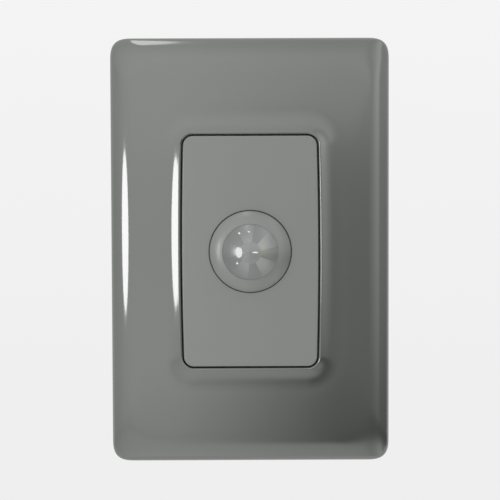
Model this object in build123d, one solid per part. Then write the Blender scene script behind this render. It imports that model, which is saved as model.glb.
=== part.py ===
from build123d import *
import math
import os

os.makedirs("parts", exist_ok=True)

# Motion sensor light switch for an oblong wall box, in millimetres.
# Pieces are drawn lying down: X across, Y up the wall, Z out of the wall, the wall's face at Z 0.
# keep() stands them up: Z is then up, and the front faces minus Y.

# Clearances
running_gap = 0.06  # screw in its thread, rotor in its body
slip_gap = 0.3  # pieces that pass or face each other
seam_gap = 0.375  # the visible gap round the insert
lead_gap = 0.1  # round a lead in a board or a base
overrun = 1.0  # how far a cut runs past the face that it opens

# Wall plate
plate_width = 79.0
plate_height = 120.5
plate_corner = 6.8  # length of a softened corner along each side
plate_corner_share = 0.81  # how far its curve is pulled towards the sharp corner
plate_side = 4.2  # straight side, before the front rolls over
plate_wall = 2.2
roll_width = 6.5
roll_rise = 3.85
roll_corner = 5.6  # corner length where the roll ends
roll_steps = 5
crown_rise = 0.25
lip_width = 4.6  # soft raised lip round the opening
lip_rise = 0.85
lip_top_width = 1.1
lip_round = 0.45
plate_skin = 2.2  # thickness behind the crown
hollow_side = 3.3  # height at which the hollow starts to narrow
hollow_inset = 4.5
guide_wall = 1.5  # wall round the opening, behind the front
guide_depth = 1.5

# Tongues that hold the plate in the frame
tongue_width = 7.0
tongue_thick = 1.6
tongue_side_inset = 7.3  # from the frame's side to the tongue's middle
tongue_end_inset = 10.0
tongue_lift = 0.6  # from the wall to the tongue's end
tongue_bead = 0.15
tongue_bead_height = 0.8

# Insert
insert_width = 38.6  # at mid height
insert_height = 65.4
insert_bow = 0.4  # the long sides bulge by this
insert_corner = 2.8
round_corner_share = 0.5523  # a curve pulled this far is a quarter circle
insert_sink = 0.1  # below the lip
insert_wall = 1.6
insert_edge_round = 0.35
insert_tongue_width = 8.0
insert_tongue_depth = 1.6

# Sensor head
collar_radius = 11.475
collar_edge = 0.6  # straight edge that stands proud of the insert
collar_rise = 2.0
collar_bulge = 0.38  # crown of the collar over a straight cone
collar_wall = 1.3
lens_radius = 7.85
lens_gap = 0.1  # between lens and collar
lens_dome_rise = 3.2
lens_wall = 0.9
lens_flange = 1.75
lens_flange_thick = 0.8
lens_sink = 0.2  # the dome starts this far below the collar's rim
facet_count = 5
facet_angle = 32.0
facet_depth = 0.15
centre_facet_radius = 3.0
lens_plain_rim = 0.5  # outside the facets
neck_wall = 2.7
neck_height = 1.5

# Mounting frame
frame_side_gap = 1.0  # to the plate's inside
frame_end_gap = 2.05
frame_corner = 5.0
frame_thick = 2.0
frame_rib = 1.4
frame_rib_height = 1.2
rim_wall = 1.4
box_screw_spacing = 83.5
slot_length = 8.0
slot_width = 4.2
pad_width = 15.0
pad_height = 9.0
pad_rise = 0.6
brace_x = 13.0
catch_width = 6.0
catch_height = 0.9
catch_reach = 0.7
catch_x = 12.0

# Box screws
box_screw_radius = 1.75
box_screw_neck = 1.45
box_screw_length = 24.0
box_screw_neck_length = 3.1
box_screw_head = 3.3
box_screw_head_height = 2.1
box_screw_tip = 1.2
slot_cut = 0.8  # width and depth of a driver's slot
drive_share = 0.8  # length of a driver's slot, of the head's diameter

# Mechanism's casing
casing_width = 42.8
casing_height = 65.8
casing_corner = 3.0
casing_wall = 1.8
casing_gap = 0.4  # in the frame's opening
flange_reach = 1.6
flange_thick = 1.8
front_wall = 1.5
front_corner = 2.2
skirt_depth = 5.0
housing_depth = 27.4
arm_width = 8.0
arm_thick = 1.3
arm_gap = 0.15
arm_y = 18.0
arm_reach = 6.2  # beyond the seam
tooth_height = 2.0
tooth_reach = 1.4
panel_width = 27.0
panel_height = 14.0
panel_depth = 0.4
panel_y = 14.0

# Sensor board
board_thick = 1.6
sensor_board_margin = 2.1  # from the casing's inner faces
post_length = 6.6
post_radius = 2.5
post_x = 14.0
post_y = 26.0
board_screw_radius = 1.0
board_screw_length = 5.0
board_screw_head = 1.9
board_screw_head_height = 1.2

# Infrared sensor and the small parts beside it
seat_height = 0.6
seat_radius = 4.4
can_radius = 4.1
can_flange = 0.5
can_flange_thick = 0.5
can_height = 4.6
window_width = 4.0
window_height = 3.0
window_thick = 0.3
lead_radius = 0.25
lead_circle = 2.54
light_sensor_radius = 1.5
light_sensor_height = 4.2
bulb_flange = 0.2
bulb_flange_thick = 0.8
bulb_gap = 0.4  # between sensor can and small lamp

# Adjusters
trimmer_size = 6.8
trimmer_height = 4.2
trimmer_x = 7.5
trimmer_y = 21.5  # below the middle
rotor_radius = 2.3
rotor_seat = 2.0  # how deep the rotor sits in its body
rotor_slot_depth = 0.8
trimmer_hole_gap = 0.4

# Small parts behind the sensor board
chip_length = 9.9
chip_width = 3.9
chip_height = 1.6
chip_legs = 8
chip_spacing = 1.27
chip_leg_width = 0.42
chip_leg_reach = 1.0
chip_leg_thick = 0.25
chip_x = 7.0
chip_y = 8.0
signal_cap_radius = 2.5
signal_cap_height = 6.0
signal_cap_y = -7.0
signal_cap_spacing = 9.0
smd_length = 2.0
smd_width = 1.25
smd_height = 0.6
smd_spacing = 3.0
smd_count = 8
smd_columns = 4
smd_y = -14.0

# Pin strip between the boards
header_count = 6
header_spacing = 2.54
header_pin = 0.64
header_block_height = 2.5
header_x = -4.3
header_y = 16.0
header_tail = 1.0

# Power board
power_board_margin = 0.6
power_board_drop = 3.6  # from the back wall
power_screw_length = 4.4
power_screw_inset = 2.6

# Dropper capacitor
film_width = 8.6
film_length = 18.0
film_height = 14.5
film_round = 0.8
film_spacing = 15.0
film_lead = 0.4
film_edge = 1.2  # from the board's side
film_y = 15.2

# Smoothing capacitor
can_cap_radius = 4.0
can_cap_height = 11.5
can_cap_x = -12.0
can_cap_y = -0.5
can_cap_round = 0.6
can_cap_spacing = 3.5

# Diodes, fusible resistor, varistor and transistor
diode_radius = 1.35
diode_length = 5.2
diode_spacing = 4.0
diode_count = 4
diode_x = 8.5
diode_y = -3.0
diode_span = 10.2
fuse_radius = 1.7
fuse_length = 9.0
fuse_x = -7.0
fuse_y = -13.5
fuse_span = 13.0
varistor_radius = 4.2
varistor_thick = 3.4
varistor_x = -1.8
varistor_y = -1.0
varistor_lift = 1.0
varistor_spacing = 5.0
transistor_radius = 2.3
transistor_height = 4.6
transistor_lift = 2.0
transistor_x = -1.8
transistor_y = 5.0
transistor_spacing = 1.27
part_lead = 0.3
lead_tail = 1.0  # lead behind the board

# Relay
relay_width = 15.6
relay_length = 19.2
relay_height = 15.2
relay_edge = 2.1  # from the board's side
relay_y = 15.2
relay_base_thick = 2.0
relay_wall = 0.8
relay_case_round = 0.6
relay_pin = 0.5
coil_place = -2.0
coil_radius = 4.4
coil_bore = 2.5
bobbin_flange = 4.6
bobbin_flange_thick = 0.7
core_radius = 2.0
core_bore_gap = 0.05
yoke_thick = 1.0
yoke_width = 9.0
yoke_leg_gap = 0.7  # between leg and bobbin
winding_height = 7.2
pole_radius = 3.2
pole_thick = 0.6
armature_thick = 0.8
armature_gap = 0.6  # open gap over the pole
armature_lift = 0.05
armature_end = 6.0
armature_tail = 0.8
blade_width = 4.0
blade_thick = 0.2
contact_radius = 1.2
contact_thick = 0.7
contact_place = 7.2
contact_gap = 1.0
contact_post = 1.2
contact_post_width = 3.0
coil_pin_x = 5.6
coil_pin_y = 5.0

# Terminals
terminal_count = 3
terminal_spacing = 11.5
cage_width = 8.4
cage_height = 6.6
cage_depth = 10.0
cage_wall = 1.0
cage_back_gap = 1.6  # from the casing's back wall
wire_hole_radius = 1.7
terminal_screw_radius = 1.5
terminal_screw_tip = 1.1
terminal_screw_head = 2.5
terminal_screw_head_height = 2.0
terminal_travel = 1.75
head_floor_gap = 0.2
head_play = 0.65  # between the head, screwed in, and the cage
clamp_thick = 1.0
clamp_length = 6.0
clamp_side_gap = 0.3
clamp_lift = 0.15
driver_hole_radius = 2.1
tail_width = 3.0
tail_thick = 0.8
tail_lap = 3.2
cell_wall = 1.2
cell_front_gap = 2.0
ledge_thick = 1.2
ledge_lap = 0.8
roof_gap = 0.3

# Levels out of the wall, worked out from the sizes above
lip_top = plate_side + roll_rise + crown_rise + lip_rise
face_out = lip_top - insert_sink
insert_back = face_out - insert_wall
chassis_front = insert_back - slip_gap
chassis_inside = chassis_front - front_wall
flange_back = frame_thick
flange_front = flange_back + flange_thick
neck_top = chassis_front + neck_height
lens_flange_front = neck_top + lens_flange_thick
collar_step = lens_flange_front + running_gap
collar_top = face_out + collar_edge + collar_rise
dome_base = collar_top - lens_sink
dome_top = dome_base + lens_dome_rise
seam = flange_back - skirt_depth
housing_back = seam - housing_depth
housing_floor = housing_back + casing_wall
sensor_board_front = chassis_inside - post_length
sensor_board_back = sensor_board_front - board_thick
power_board_back = housing_floor + power_board_drop
power_board_front = power_board_back + board_thick
rotor_front = insert_back - 2 * slip_gap
hollow_top = plate_side + roll_rise - plate_skin

# Widths and heights, worked out the same way
frame_width = plate_width - 2 * (plate_wall + frame_side_gap)
frame_height = plate_height - 2 * (plate_wall + frame_end_gap)
tongue_x = frame_width / 2 - tongue_side_inset
tongue_y = frame_height / 2 - tongue_end_inset
opening_width = insert_width + 2 * seam_gap
opening_height = insert_height + 2 * seam_gap
opening_corner = insert_corner + seam_gap
inner_width = casing_width - 2 * casing_wall
inner_height = casing_height - 2 * casing_wall
front_width = insert_width - 2 * (insert_bow + insert_wall + slip_gap)
front_height = insert_height - 2 * (insert_wall + slip_gap)
flange_width = casing_width + 2 * flange_reach
flange_height = casing_height + 2 * flange_reach
neck_radius = lens_radius + lens_flange + lens_gap + slip_gap
neck_bore = neck_radius - neck_wall

upright = Location(Plane(origin=(0, 0, 0), x_dir=(1, 0, 0), z_dir=(0, -1, 0)))


def keep(name, shape):
    export_step(upright * shape, f"parts/{name}.step")


def block(width, height, back, front, x=0, y=0):
    return Pos(x, y, (back + front) / 2) * Box(width, height, front - back)


def rod(radius, back, front, x=0, y=0):
    return Pos(x, y, (back + front) / 2) * Cylinder(radius, front - back)


def rod_across(radius, left, right, y, z):
    return Pos((left + right) / 2, y, z) * Rot(0, 90, 0) * Cylinder(radius, right - left)


def rod_up(radius, low, high, x, z):
    return Pos(x, (low + high) / 2, z) * Rot(90, 0, 0) * Cylinder(radius, high - low)


def slab(face, back, front):
    return extrude(Pos(0, 0, back) * face, front - back, dir=(0, 0, 1))


# A closed outline with softened corners, whose long sides bulge outwards by bow.
def outline(width, height, corner, pull_share, bow=0):
    side = width / 2 - bow
    top = height / 2
    straights = [
        ((side, corner - top), (side, top - corner)),
        ((side - corner, top), (corner - side, top)),
        ((-side, top - corner), (-side, corner - top)),
        ((corner - side, -top), (side - corner, -top)),
    ]
    sharp = [(side, top), (-side, top), (-side, -top), (side, -top)]
    edges = []
    for turn, (start, end) in enumerate(straights):
        if bow and turn % 2 == 0:
            middle = (math.copysign(side + bow, start[0]), 0)
            edges.append(ThreePointArc(start, middle, end))
        else:
            edges.append(Line(start, end))
        after = Vector(*straights[(turn + 1) % 4][0])
        before = Vector(*end)
        corner_point = Vector(*sharp[turn])
        first = before + (corner_point - before) * pull_share
        second = after + (corner_point - after) * pull_share
        edges.append(Bezier(before, first, second, after))
    return make_face(edges)


def rounded(width, height, corner):
    return outline(width, height, corner, round_corner_share)


def insert_outline(grow):
    # The insert's outline, grown on all sides.
    return outline(
        insert_width + 2 * grow,
        insert_height + 2 * grow,
        insert_corner + grow,
        round_corner_share,
        insert_bow,
    )


def four_places(x, y):
    return [(x, y), (-x, y), (-x, -y), (x, -y)]


def terminal_places():
    return [(number - (terminal_count - 1) / 2) * terminal_spacing for number in range(terminal_count)]


def drilled(shape, radius, back, front, places):
    for x, y in places:
        shape -= rod(radius, back - overrun, front + overrun, x, y)
    return shape


# Wall plate

def plate_front():
    # Solid of the outer form: straight side, elliptical roll, near flat crown, soft lip.
    solid = slab(outline(plate_width, plate_height, plate_corner, plate_corner_share), 0, plate_side)
    rings = []
    for step in range(roll_steps + 1):
        angle = step / roll_steps * math.pi / 2
        inset = roll_width * (1 - math.cos(angle))
        level = plate_side + roll_rise * math.sin(angle)
        corner = plate_corner + (roll_corner - plate_corner) * inset / roll_width
        face = outline(
            plate_width - 2 * inset, plate_height - 2 * inset, corner, plate_corner_share
        )
        rings.append(Pos(0, 0, level) * face)
    solid += loft(rings)
    lip_foot = plate_side + roll_rise + crown_rise
    lip_edge = insert_outline(seam_gap + lip_top_width)
    foot = insert_outline(seam_gap + lip_width)
    solid += loft([rings[-1], Pos(0, 0, lip_foot) * foot])
    solid += loft([Pos(0, 0, lip_foot) * foot, Pos(0, 0, lip_top) * lip_edge])
    return solid


def wall_plate():
    solid = plate_front()
    hollow_width = plate_width - 2 * plate_wall
    hollow_height = plate_height - 2 * plate_wall
    hollow_corner = plate_corner - plate_wall
    wide = outline(hollow_width, hollow_height, hollow_corner, plate_corner_share)
    narrow = outline(
        hollow_width - 2 * hollow_inset,
        hollow_height - 2 * hollow_inset,
        hollow_corner,
        plate_corner_share,
    )
    hollow = slab(wide, -overrun, hollow_side)
    hollow += loft([Pos(0, 0, hollow_side) * wide, Pos(0, 0, hollow_top) * narrow])
    hollow -= slab(insert_outline(seam_gap + guide_wall), hollow_top - guide_depth, hollow_top)
    solid -= hollow
    solid -= slab(insert_outline(seam_gap), -overrun, lip_top + overrun)
    inner_edges = solid.edges().filter_by_position(Axis.Z, lip_top, lip_top)
    inner_edges = [edge for edge in inner_edges if opening_edge(edge)]
    solid = fillet(inner_edges, lip_round)
    for x, y in four_places(tongue_x, tongue_y):
        solid += block(tongue_width, tongue_thick, tongue_lift, hollow_top + overrun, x, y)
        solid += block(
            tongue_width,
            tongue_thick + 2 * tongue_bead,
            tongue_lift,
            tongue_lift + tongue_bead_height,
            x,
            y,
        )
    return solid


def opening_edge(edge):
    # True for the edges of the opening itself, not those of the lip outside it.
    box = edge.bounding_box()
    middle = edge.center()
    limit_x = opening_width / 2 + lip_top_width / 2
    limit_y = opening_height / 2 + lip_top_width / 2
    return abs(middle.X) < limit_x and abs(middle.Y) < limit_y and box.max.X < limit_x


# Insert

def front_cover():
    solid = slab(insert_outline(0), flange_front + slip_gap, face_out)
    solid = fillet(solid.faces().sort_by(Axis.Z)[-1].outer_wire().edges(), insert_edge_round)
    solid -= slab(insert_outline(-insert_wall), flange_front, insert_back)
    for side in (-1, 1):
        tongue_at = side * (insert_height - insert_wall) / 2
        solid += block(
            insert_tongue_width,
            insert_wall - slip_gap,
            flange_front - insert_tongue_depth + slip_gap,
            flange_front + 2 * slip_gap,
            0,
            tongue_at,
        )
    return solid - rod(collar_radius + slip_gap, insert_back - overrun, face_out + overrun)


# Sensor head

def lens_collar():
    edge_level = face_out + collar_edge
    inner = lens_radius + lens_gap
    skirt = collar_radius - collar_wall
    outside = (collar_radius, edge_level)
    rim = (inner, collar_top)
    slope = math.atan2(collar_rise, collar_radius - inner)
    middle = (
        (collar_radius + inner) / 2 + collar_bulge * math.sin(slope),
        (edge_level + collar_top) / 2 + collar_bulge * math.cos(slope),
    )
    lines = [
        Polyline([rim, (inner, collar_step), (skirt, collar_step), (skirt, chassis_front)]),
        Polyline([(skirt, chassis_front), (collar_radius, chassis_front), outside]),
        ThreePointArc(outside, middle, rim),
    ]
    return revolve(Plane.XZ * make_face(lines), Axis.Z)


def dome_radius():
    return (lens_radius**2 + lens_dome_rise**2) / (2 * lens_dome_rise)


def dome_level(radius, at):
    # Height of a sphere about the dome's centre, at a distance from the axis.
    return dome_top - dome_radius() + math.sqrt(radius**2 - at**2)


def facet_pocket():
    # Shallow hollow inside the dome, one petal wide.
    inner = dome_radius() - lens_wall
    deep = inner + facet_depth
    near, far = centre_facet_radius, lens_radius - lens_wall - lens_plain_rim
    middle = (near + far) / 2
    low = inner - facet_depth
    lines = [
        ThreePointArc(
            (near, dome_level(low, near)),
            (middle, dome_level(low, middle)),
            (far, dome_level(low, far)),
        ),
        Line((far, dome_level(low, far)), (far, dome_level(deep, far))),
        ThreePointArc(
            (far, dome_level(deep, far)),
            (middle, dome_level(deep, middle)),
            (near, dome_level(deep, near)),
        ),
        Line((near, dome_level(deep, near)), (near, dome_level(low, near))),
    ]
    return revolve(Plane.XZ * make_face(lines), Axis.Z, revolution_arc=facet_angle)


def fresnel_lens():
    flange_radius = lens_radius + lens_flange
    bore = lens_radius - lens_wall
    inner = dome_radius() - lens_wall
    outer_at = lens_radius / 2
    inner_at = bore / 2
    lines = [
        Polyline([(0, dome_top - lens_wall), (0, dome_top)]),
        ThreePointArc(
            (0, dome_top),
            (outer_at, dome_level(dome_radius(), outer_at)),
            (lens_radius, dome_base),
        ),
        Polyline(
            [
                (lens_radius, dome_base),
                (lens_radius, lens_flange_front),
                (flange_radius, lens_flange_front),
                (flange_radius, neck_top),
                (bore, neck_top),
                (bore, dome_level(inner, bore)),
            ]
        ),
        ThreePointArc(
            (bore, dome_level(inner, bore)),
            (inner_at, dome_level(inner, inner_at)),
            (0, dome_top - lens_wall),
        ),
    ]
    solid = revolve(Plane.XZ * make_face(lines), Axis.Z)
    for number in range(facet_count):
        solid -= Rot(0, 0, number * 360 / facet_count) * facet_pocket()
    return solid


# Mounting frame and box screws

def mounting_frame():
    opening = rounded(casing_width + 2 * casing_gap, casing_height + 2 * casing_gap, casing_corner)
    rim_width = flange_width + 2 * casing_gap
    rim_height = flange_height + 2 * casing_gap
    rim_inside = rounded(rim_width, rim_height, casing_corner)
    rim_outside = rounded(rim_width + 2 * rim_wall, rim_height + 2 * rim_wall, casing_corner + rim_wall)
    outer = rounded(frame_width, frame_height, frame_corner)
    inner = rounded(frame_width - 2 * frame_rib, frame_height - 2 * frame_rib, frame_corner - frame_rib)
    rib_top = frame_thick + frame_rib_height
    solid = slab(outer, 0, frame_thick)
    solid += slab(outer, 0, rib_top) - slab(inner, -overrun, rib_top + overrun)
    solid += slab(rim_outside, 0, flange_front) - slab(rim_inside, -overrun, flange_front + overrun)
    brace_length = (frame_height - rim_height) / 2 - rim_wall
    brace_at = (frame_height + rim_height) / 4 + rim_wall / 2
    for side in (-1, 1):
        for x in (-brace_x, brace_x):
            solid += block(frame_rib, brace_length, 0, rib_top, x, side * brace_at)
        solid += block(pad_width, pad_height, 0, frame_thick + pad_rise, 0, side * box_screw_spacing / 2)
    solid -= slab(opening, -overrun, flange_front + overrun)
    for side in (-1, 1):
        slot = Pos(0, side * box_screw_spacing / 2, 0) * SlotOverall(slot_length, slot_width)
        solid -= slab(slot, -overrun, rib_top + overrun)
    for x, y in four_places(tongue_x, tongue_y):
        solid -= block(
            tongue_width + 2 * slip_gap, tongue_thick + 2 * slip_gap, -overrun, rib_top + overrun, x, y
        )
    for x, y in four_places(catch_x, casing_height / 2):
        solid -= block(
            catch_width + 2 * slip_gap,
            2 * (catch_reach + slip_gap),
            -overrun,
            catch_height + slip_gap,
            x,
            y,
        )
    return solid


def driver_slot(radius, front, x=0, y=0):
    return block(2 * radius * drive_share, slot_cut, front - slot_cut, front + overrun, x, y)


def box_screw(y):
    seat = frame_thick + pad_rise
    neck_end = seat - box_screw_neck_length
    tip = seat - box_screw_length
    head_front = seat + box_screw_head_height
    head = rod(box_screw_head, seat, head_front)
    head = fillet(head.faces().sort_by(Axis.Z)[-1].edges(), box_screw_head_height / 2)
    screw = head + rod(box_screw_neck, neck_end, seat) + rod(box_screw_radius, tip + box_screw_tip, neck_end)
    screw += Pos(0, 0, tip + box_screw_tip / 2) * Cone(
        box_screw_neck - box_screw_tip / 2, box_screw_radius, box_screw_tip
    )
    screw -= driver_slot(box_screw_head, head_front)
    screw -= Rot(0, 0, 90) * driver_slot(box_screw_head, head_front)
    return Pos(0, y, 0) * screw


def box_screws():
    return box_screw(-box_screw_spacing / 2) + box_screw(box_screw_spacing / 2)


# Mechanism's casing

def latch_arm(side, y):
    # Arm inside the casing's wall, with a tooth that fills a window in the housing.
    wall_at = inner_width / 2
    outside = wall_at - arm_gap
    inside = outside - arm_thick
    end = seam - arm_reach
    arm = block(wall_at - inside, arm_width, seam, flange_back, (inside + wall_at) / 2, 0)
    arm += block(arm_thick, arm_width, end, seam, (inside + outside) / 2, 0)
    tooth = make_face(
        Polyline(
            [
                (outside, end),
                (outside + tooth_reach, end + tooth_height),
                (outside, end + tooth_height),
            ],
            close=True,
        )
    )
    arm += Pos(0, arm_width / 2, 0) * extrude(Plane.XZ * tooth, arm_width)
    if side < 0:
        arm = mirror(arm, Plane.YZ)
    return Pos(0, y, 0) * arm


def front_chassis():
    outer = rounded(casing_width, casing_height, casing_corner)
    inner = rounded(inner_width, inner_height, casing_corner - casing_wall)
    raised = rounded(front_width, front_height, front_corner)
    raised_inside = rounded(
        front_width - 2 * front_wall, front_height - 2 * front_wall, front_corner - front_wall / 2
    )
    flange = rounded(flange_width, flange_height, casing_corner + flange_reach)
    solid = slab(outer, seam, flange_back)
    solid += slab(flange, flange_back, flange_front)
    solid += slab(raised, flange_front, chassis_front)
    solid -= slab(inner, seam - overrun, flange_back)
    solid -= slab(raised_inside, flange_back - overrun, chassis_inside)
    for x, y in four_places(post_x, post_y):
        solid += rod(post_radius, sensor_board_front, chassis_inside + overrun / 2, x, y)
        solid -= rod(
            board_screw_radius + running_gap,
            sensor_board_front - overrun,
            sensor_board_front + board_screw_length,
            x,
            y,
        )
    solid += rod(neck_radius, chassis_inside, neck_top)
    solid -= rod(neck_bore, chassis_inside - overrun, neck_top + overrun)
    for x in (-trimmer_x, trimmer_x):
        solid -= rod(
            rotor_radius + trimmer_hole_gap, chassis_inside - overrun, chassis_front + overrun, x, -trimmer_y
        )
    for side in (-1, 1):
        solid -= block(
            insert_tongue_width + 2 * slip_gap,
            insert_wall + slip_gap,
            flange_front - insert_tongue_depth,
            flange_front + overrun,
            0,
            side * (insert_height - insert_wall) / 2,
        )
        for y in (-arm_y, arm_y):
            solid += latch_arm(side, y)
        for x in (-catch_x, catch_x):
            catch = block(
                catch_width, catch_reach + casing_wall / 2, 0, catch_height, x, side * casing_height / 2
            )
            shift = side * (catch_reach - casing_wall / 2) / 2
            solid += Pos(0, shift, 0) * catch
    return solid


def cage_top():
    return casing_wall - casing_height / 2 + cage_rise() + cage_height


def cage_rise():
    # From the casing's inner floor to the cage's lower face, with the screw backed right out.
    return head_floor_gap + terminal_screw_head_height + terminal_travel + head_play


def cage_back():
    return housing_floor + cage_back_gap


def cage_front():
    return cage_back() + cage_depth


def cage_bottom():
    return cage_top() - cage_height


def screw_level():
    # Distance out of the wall of the terminal screws' axes.
    return cage_back() + cage_depth / 2


def wire_level():
    # Height of the wires between the clamp, fully open, and the cage's roof.
    clamp_top = cage_bottom() + cage_wall + clamp_lift + clamp_thick
    return (clamp_top + cage_top() - cage_wall) / 2


def tail_back():
    return power_board_back - tail_thick


def rear_housing():
    outer = rounded(casing_width, casing_height, casing_corner)
    inner = rounded(inner_width, inner_height, casing_corner - casing_wall)
    solid = slab(outer, housing_back, seam) - slab(inner, housing_floor, seam + overrun)
    roof = cage_top() + roof_gap
    floor = -inner_height / 2
    cell_front = cage_front() + cell_front_gap
    wall_middle = (roof + floor) / 2
    solid += block(inner_width, cell_wall, housing_floor, cell_front, 0, roof + cell_wall / 2)
    solid += block(
        inner_width,
        roof - floor + cell_wall,
        cell_front,
        cell_front + cell_wall,
        0,
        wall_middle + cell_wall / 2,
    )
    ledge_back = housing_floor
    ledge_middle = cage_bottom() - ledge_thick / 2
    for number, x in enumerate(terminal_places()):
        solid -= block(
            tail_width + 2 * slip_gap,
            cell_wall + 2 * overrun,
            housing_floor,
            power_board_back + slip_gap,
            x,
            roof + cell_wall / 2,
        )
        solid -= rod(wire_hole_radius, housing_back - overrun, housing_floor + overrun, x, wire_level())
        solid -= rod_up(
            driver_hole_radius, -casing_height / 2 - overrun, floor + overrun, x, screw_level()
        )
        left = -inner_width / 2 if number == 0 else x - terminal_spacing / 2
        right = inner_width / 2 if number == terminal_count - 1 else x + terminal_spacing / 2
        hold = cage_width / 2 - ledge_lap
        for start, end in ((left, x - hold), (x + hold, right)):
            solid += block(
                end - start, ledge_thick, ledge_back, cell_front, (start + end) / 2, ledge_middle
            )
        if number:
            solid += block(cell_wall, roof - floor, housing_floor, cell_front, left, wall_middle)
    for x, y in power_screw_places():
        solid += rod(post_radius, housing_floor - casing_wall / 2, power_board_back, x, y)
        solid -= rod(
            board_screw_radius + running_gap,
            power_board_front - power_screw_length - slip_gap,
            power_board_back + overrun,
            x,
            y,
        )
    for side in (-1, 1):
        for y in (-arm_y, arm_y):
            solid -= block(
                2 * casing_wall + overrun,
                arm_width + 2 * slip_gap,
                seam - arm_reach - slip_gap,
                seam - arm_reach + tooth_height + slip_gap,
                side * casing_width / 2,
                y,
            )
    solid -= slab(
        Pos(0, panel_y) * rounded(panel_width, panel_height, casing_corner - casing_wall),
        housing_back - overrun,
        housing_back + panel_depth,
    )
    return solid


# Boards

def sensor_board():
    face = rounded(
        inner_width - 2 * sensor_board_margin,
        inner_height - 2 * sensor_board_margin,
        casing_corner - casing_wall,
    )
    solid = slab(face, sensor_board_back, sensor_board_front)
    levels = (sensor_board_back, sensor_board_front)
    solid = drilled(solid, board_screw_radius + lead_gap, *levels, four_places(post_x, post_y))
    solid = drilled(solid, lead_radius + lead_gap, *levels, pir_lead_places())
    for _, y in header_places():
        solid -= block(
            header_pin + 2 * lead_gap,
            header_pin + 2 * lead_gap,
            sensor_board_back - overrun,
            sensor_board_front + overrun,
            header_x,
            y,
        )
    return solid


def machine_screw(front, length, x, y, turned=1):
    # Small screw whose head lies on a face at this level; turned -1 points it out of the wall.
    screw = rod(board_screw_radius, -length, 0)
    head = rod(board_screw_head, 0, board_screw_head_height)
    head = fillet(head.faces().sort_by(Axis.Z)[-1].edges(), board_screw_head_height / 3)
    screw += head
    screw -= driver_slot(board_screw_head, board_screw_head_height)
    if turned < 0:
        screw = Rot(180, 0, 0) * screw
    return Pos(x, y, front) * screw


def board_screws():
    screws = Part()
    for x, y in four_places(post_x, post_y):
        screws += machine_screw(sensor_board_back, board_screw_length, x, y, -1)
    return screws


def power_board_low():
    return cage_top() + roof_gap + cell_wall + slip_gap


def power_board_middle():
    return (inner_height / 2 - power_board_margin + power_board_low()) / 2


def power_board_tall():
    return inner_height / 2 - power_board_margin - power_board_low()


def power_board_wide():
    return inner_width - 2 * power_board_margin


def power_screw_places():
    x = power_board_wide() / 2 - power_screw_inset
    y = power_board_tall() / 2 - power_screw_inset
    return [(px, py + power_board_middle()) for px, py in four_places(x, y)]


def power_board():
    solid = block(
        power_board_wide(), power_board_tall(), power_board_back, power_board_front, 0, power_board_middle()
    )
    levels = (power_board_back, power_board_front)
    solid = drilled(solid, board_screw_radius + lead_gap, *levels, power_screw_places())
    solid = drilled(solid, film_lead + lead_gap, *levels, film_places())
    solid = drilled(solid, relay_pin + lead_gap, *levels, relay_pin_places())
    small = can_cap_places() + diode_places() + fuse_places() + varistor_places() + transistor_places()
    solid = drilled(solid, part_lead + lead_gap, *levels, small)
    for _, y in header_places():
        solid -= block(
            header_pin + 2 * lead_gap,
            header_pin + 2 * lead_gap,
            power_board_back - overrun,
            power_board_front + overrun,
            header_x,
            y,
        )
    return solid


def power_board_screws():
    screws = Part()
    for x, y in power_screw_places():
        screws += machine_screw(power_board_front, power_screw_length, x, y)
    return screws


def header_places():
    middle = (header_count - 1) / 2
    return [(header_x, header_y + (number - middle) * header_spacing) for number in range(header_count)]


def header_pins():
    pins = Part()
    for x, y in header_places():
        pins += block(
            header_pin, header_pin, power_board_back - header_tail, sensor_board_front + header_tail / 2, x, y
        )
    return pins


def header_blocks():
    tall = header_count * header_spacing
    blocks = Part()
    levels = (
        (sensor_board_back - header_block_height, sensor_board_back),
        (power_board_front, power_board_front + header_block_height),
    )
    for back, front in levels:
        strip = block(header_spacing, tall, back, front, header_x, header_y)
        for x, y in header_places():
            strip -= block(header_pin, header_pin, back - overrun, front + overrun, x, y)
        blocks += strip
    return blocks


# Infrared sensor and what stands beside it

def can_base():
    return sensor_board_front + seat_height


def pir_lead_places():
    return [(0, lead_circle), (-lead_circle, 0), (0, -lead_circle)]


def pir_seat():
    solid = rod(seat_radius, sensor_board_front, can_base())
    return drilled(solid, lead_radius + lead_gap, sensor_board_front, can_base(), pir_lead_places())


def pir_sensor():
    top = can_base() + can_height
    solid = rod(can_radius, can_base(), top)
    solid = fillet(solid.faces().sort_by(Axis.Z)[-1].edges(), window_thick)
    solid += rod(can_radius + can_flange, can_base(), can_base() + can_flange_thick)
    return solid - block(window_width, window_height, top - window_thick, top + overrun)


def pir_window():
    top = can_base() + can_height
    return block(window_width, window_height, top - window_thick, top)


def pir_leads():
    leads = Part()
    for x, y in pir_lead_places():
        leads += rod(lead_radius, sensor_board_back - lead_tail, can_base(), x, y)
    return leads


def bulb(x):
    # Round-topped clear body on a small foot.
    top = sensor_board_front + light_sensor_height
    solid = rod(light_sensor_radius, sensor_board_front, top - light_sensor_radius, x)
    solid += Pos(x, 0, top - light_sensor_radius) * Sphere(light_sensor_radius)
    foot_top = sensor_board_front + bulb_flange_thick
    return solid + rod(light_sensor_radius + bulb_flange, sensor_board_front, foot_top, x)


def bulb_x():
    return can_radius + can_flange + bulb_gap + light_sensor_radius + bulb_flange


def light_sensor():
    return bulb(-bulb_x())


def indicator_led():
    return bulb(bulb_x())


# Adjusters

def trimmer_body(x):
    top = sensor_board_front + trimmer_height
    solid = block(trimmer_size, trimmer_size, sensor_board_front, top, x, -trimmer_y)
    solid = fillet(solid.edges().filter_by(Axis.Z), rotor_radius / 4)
    return solid - rod(rotor_radius + running_gap, top - rotor_seat, top + overrun, x, -trimmer_y)


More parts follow.
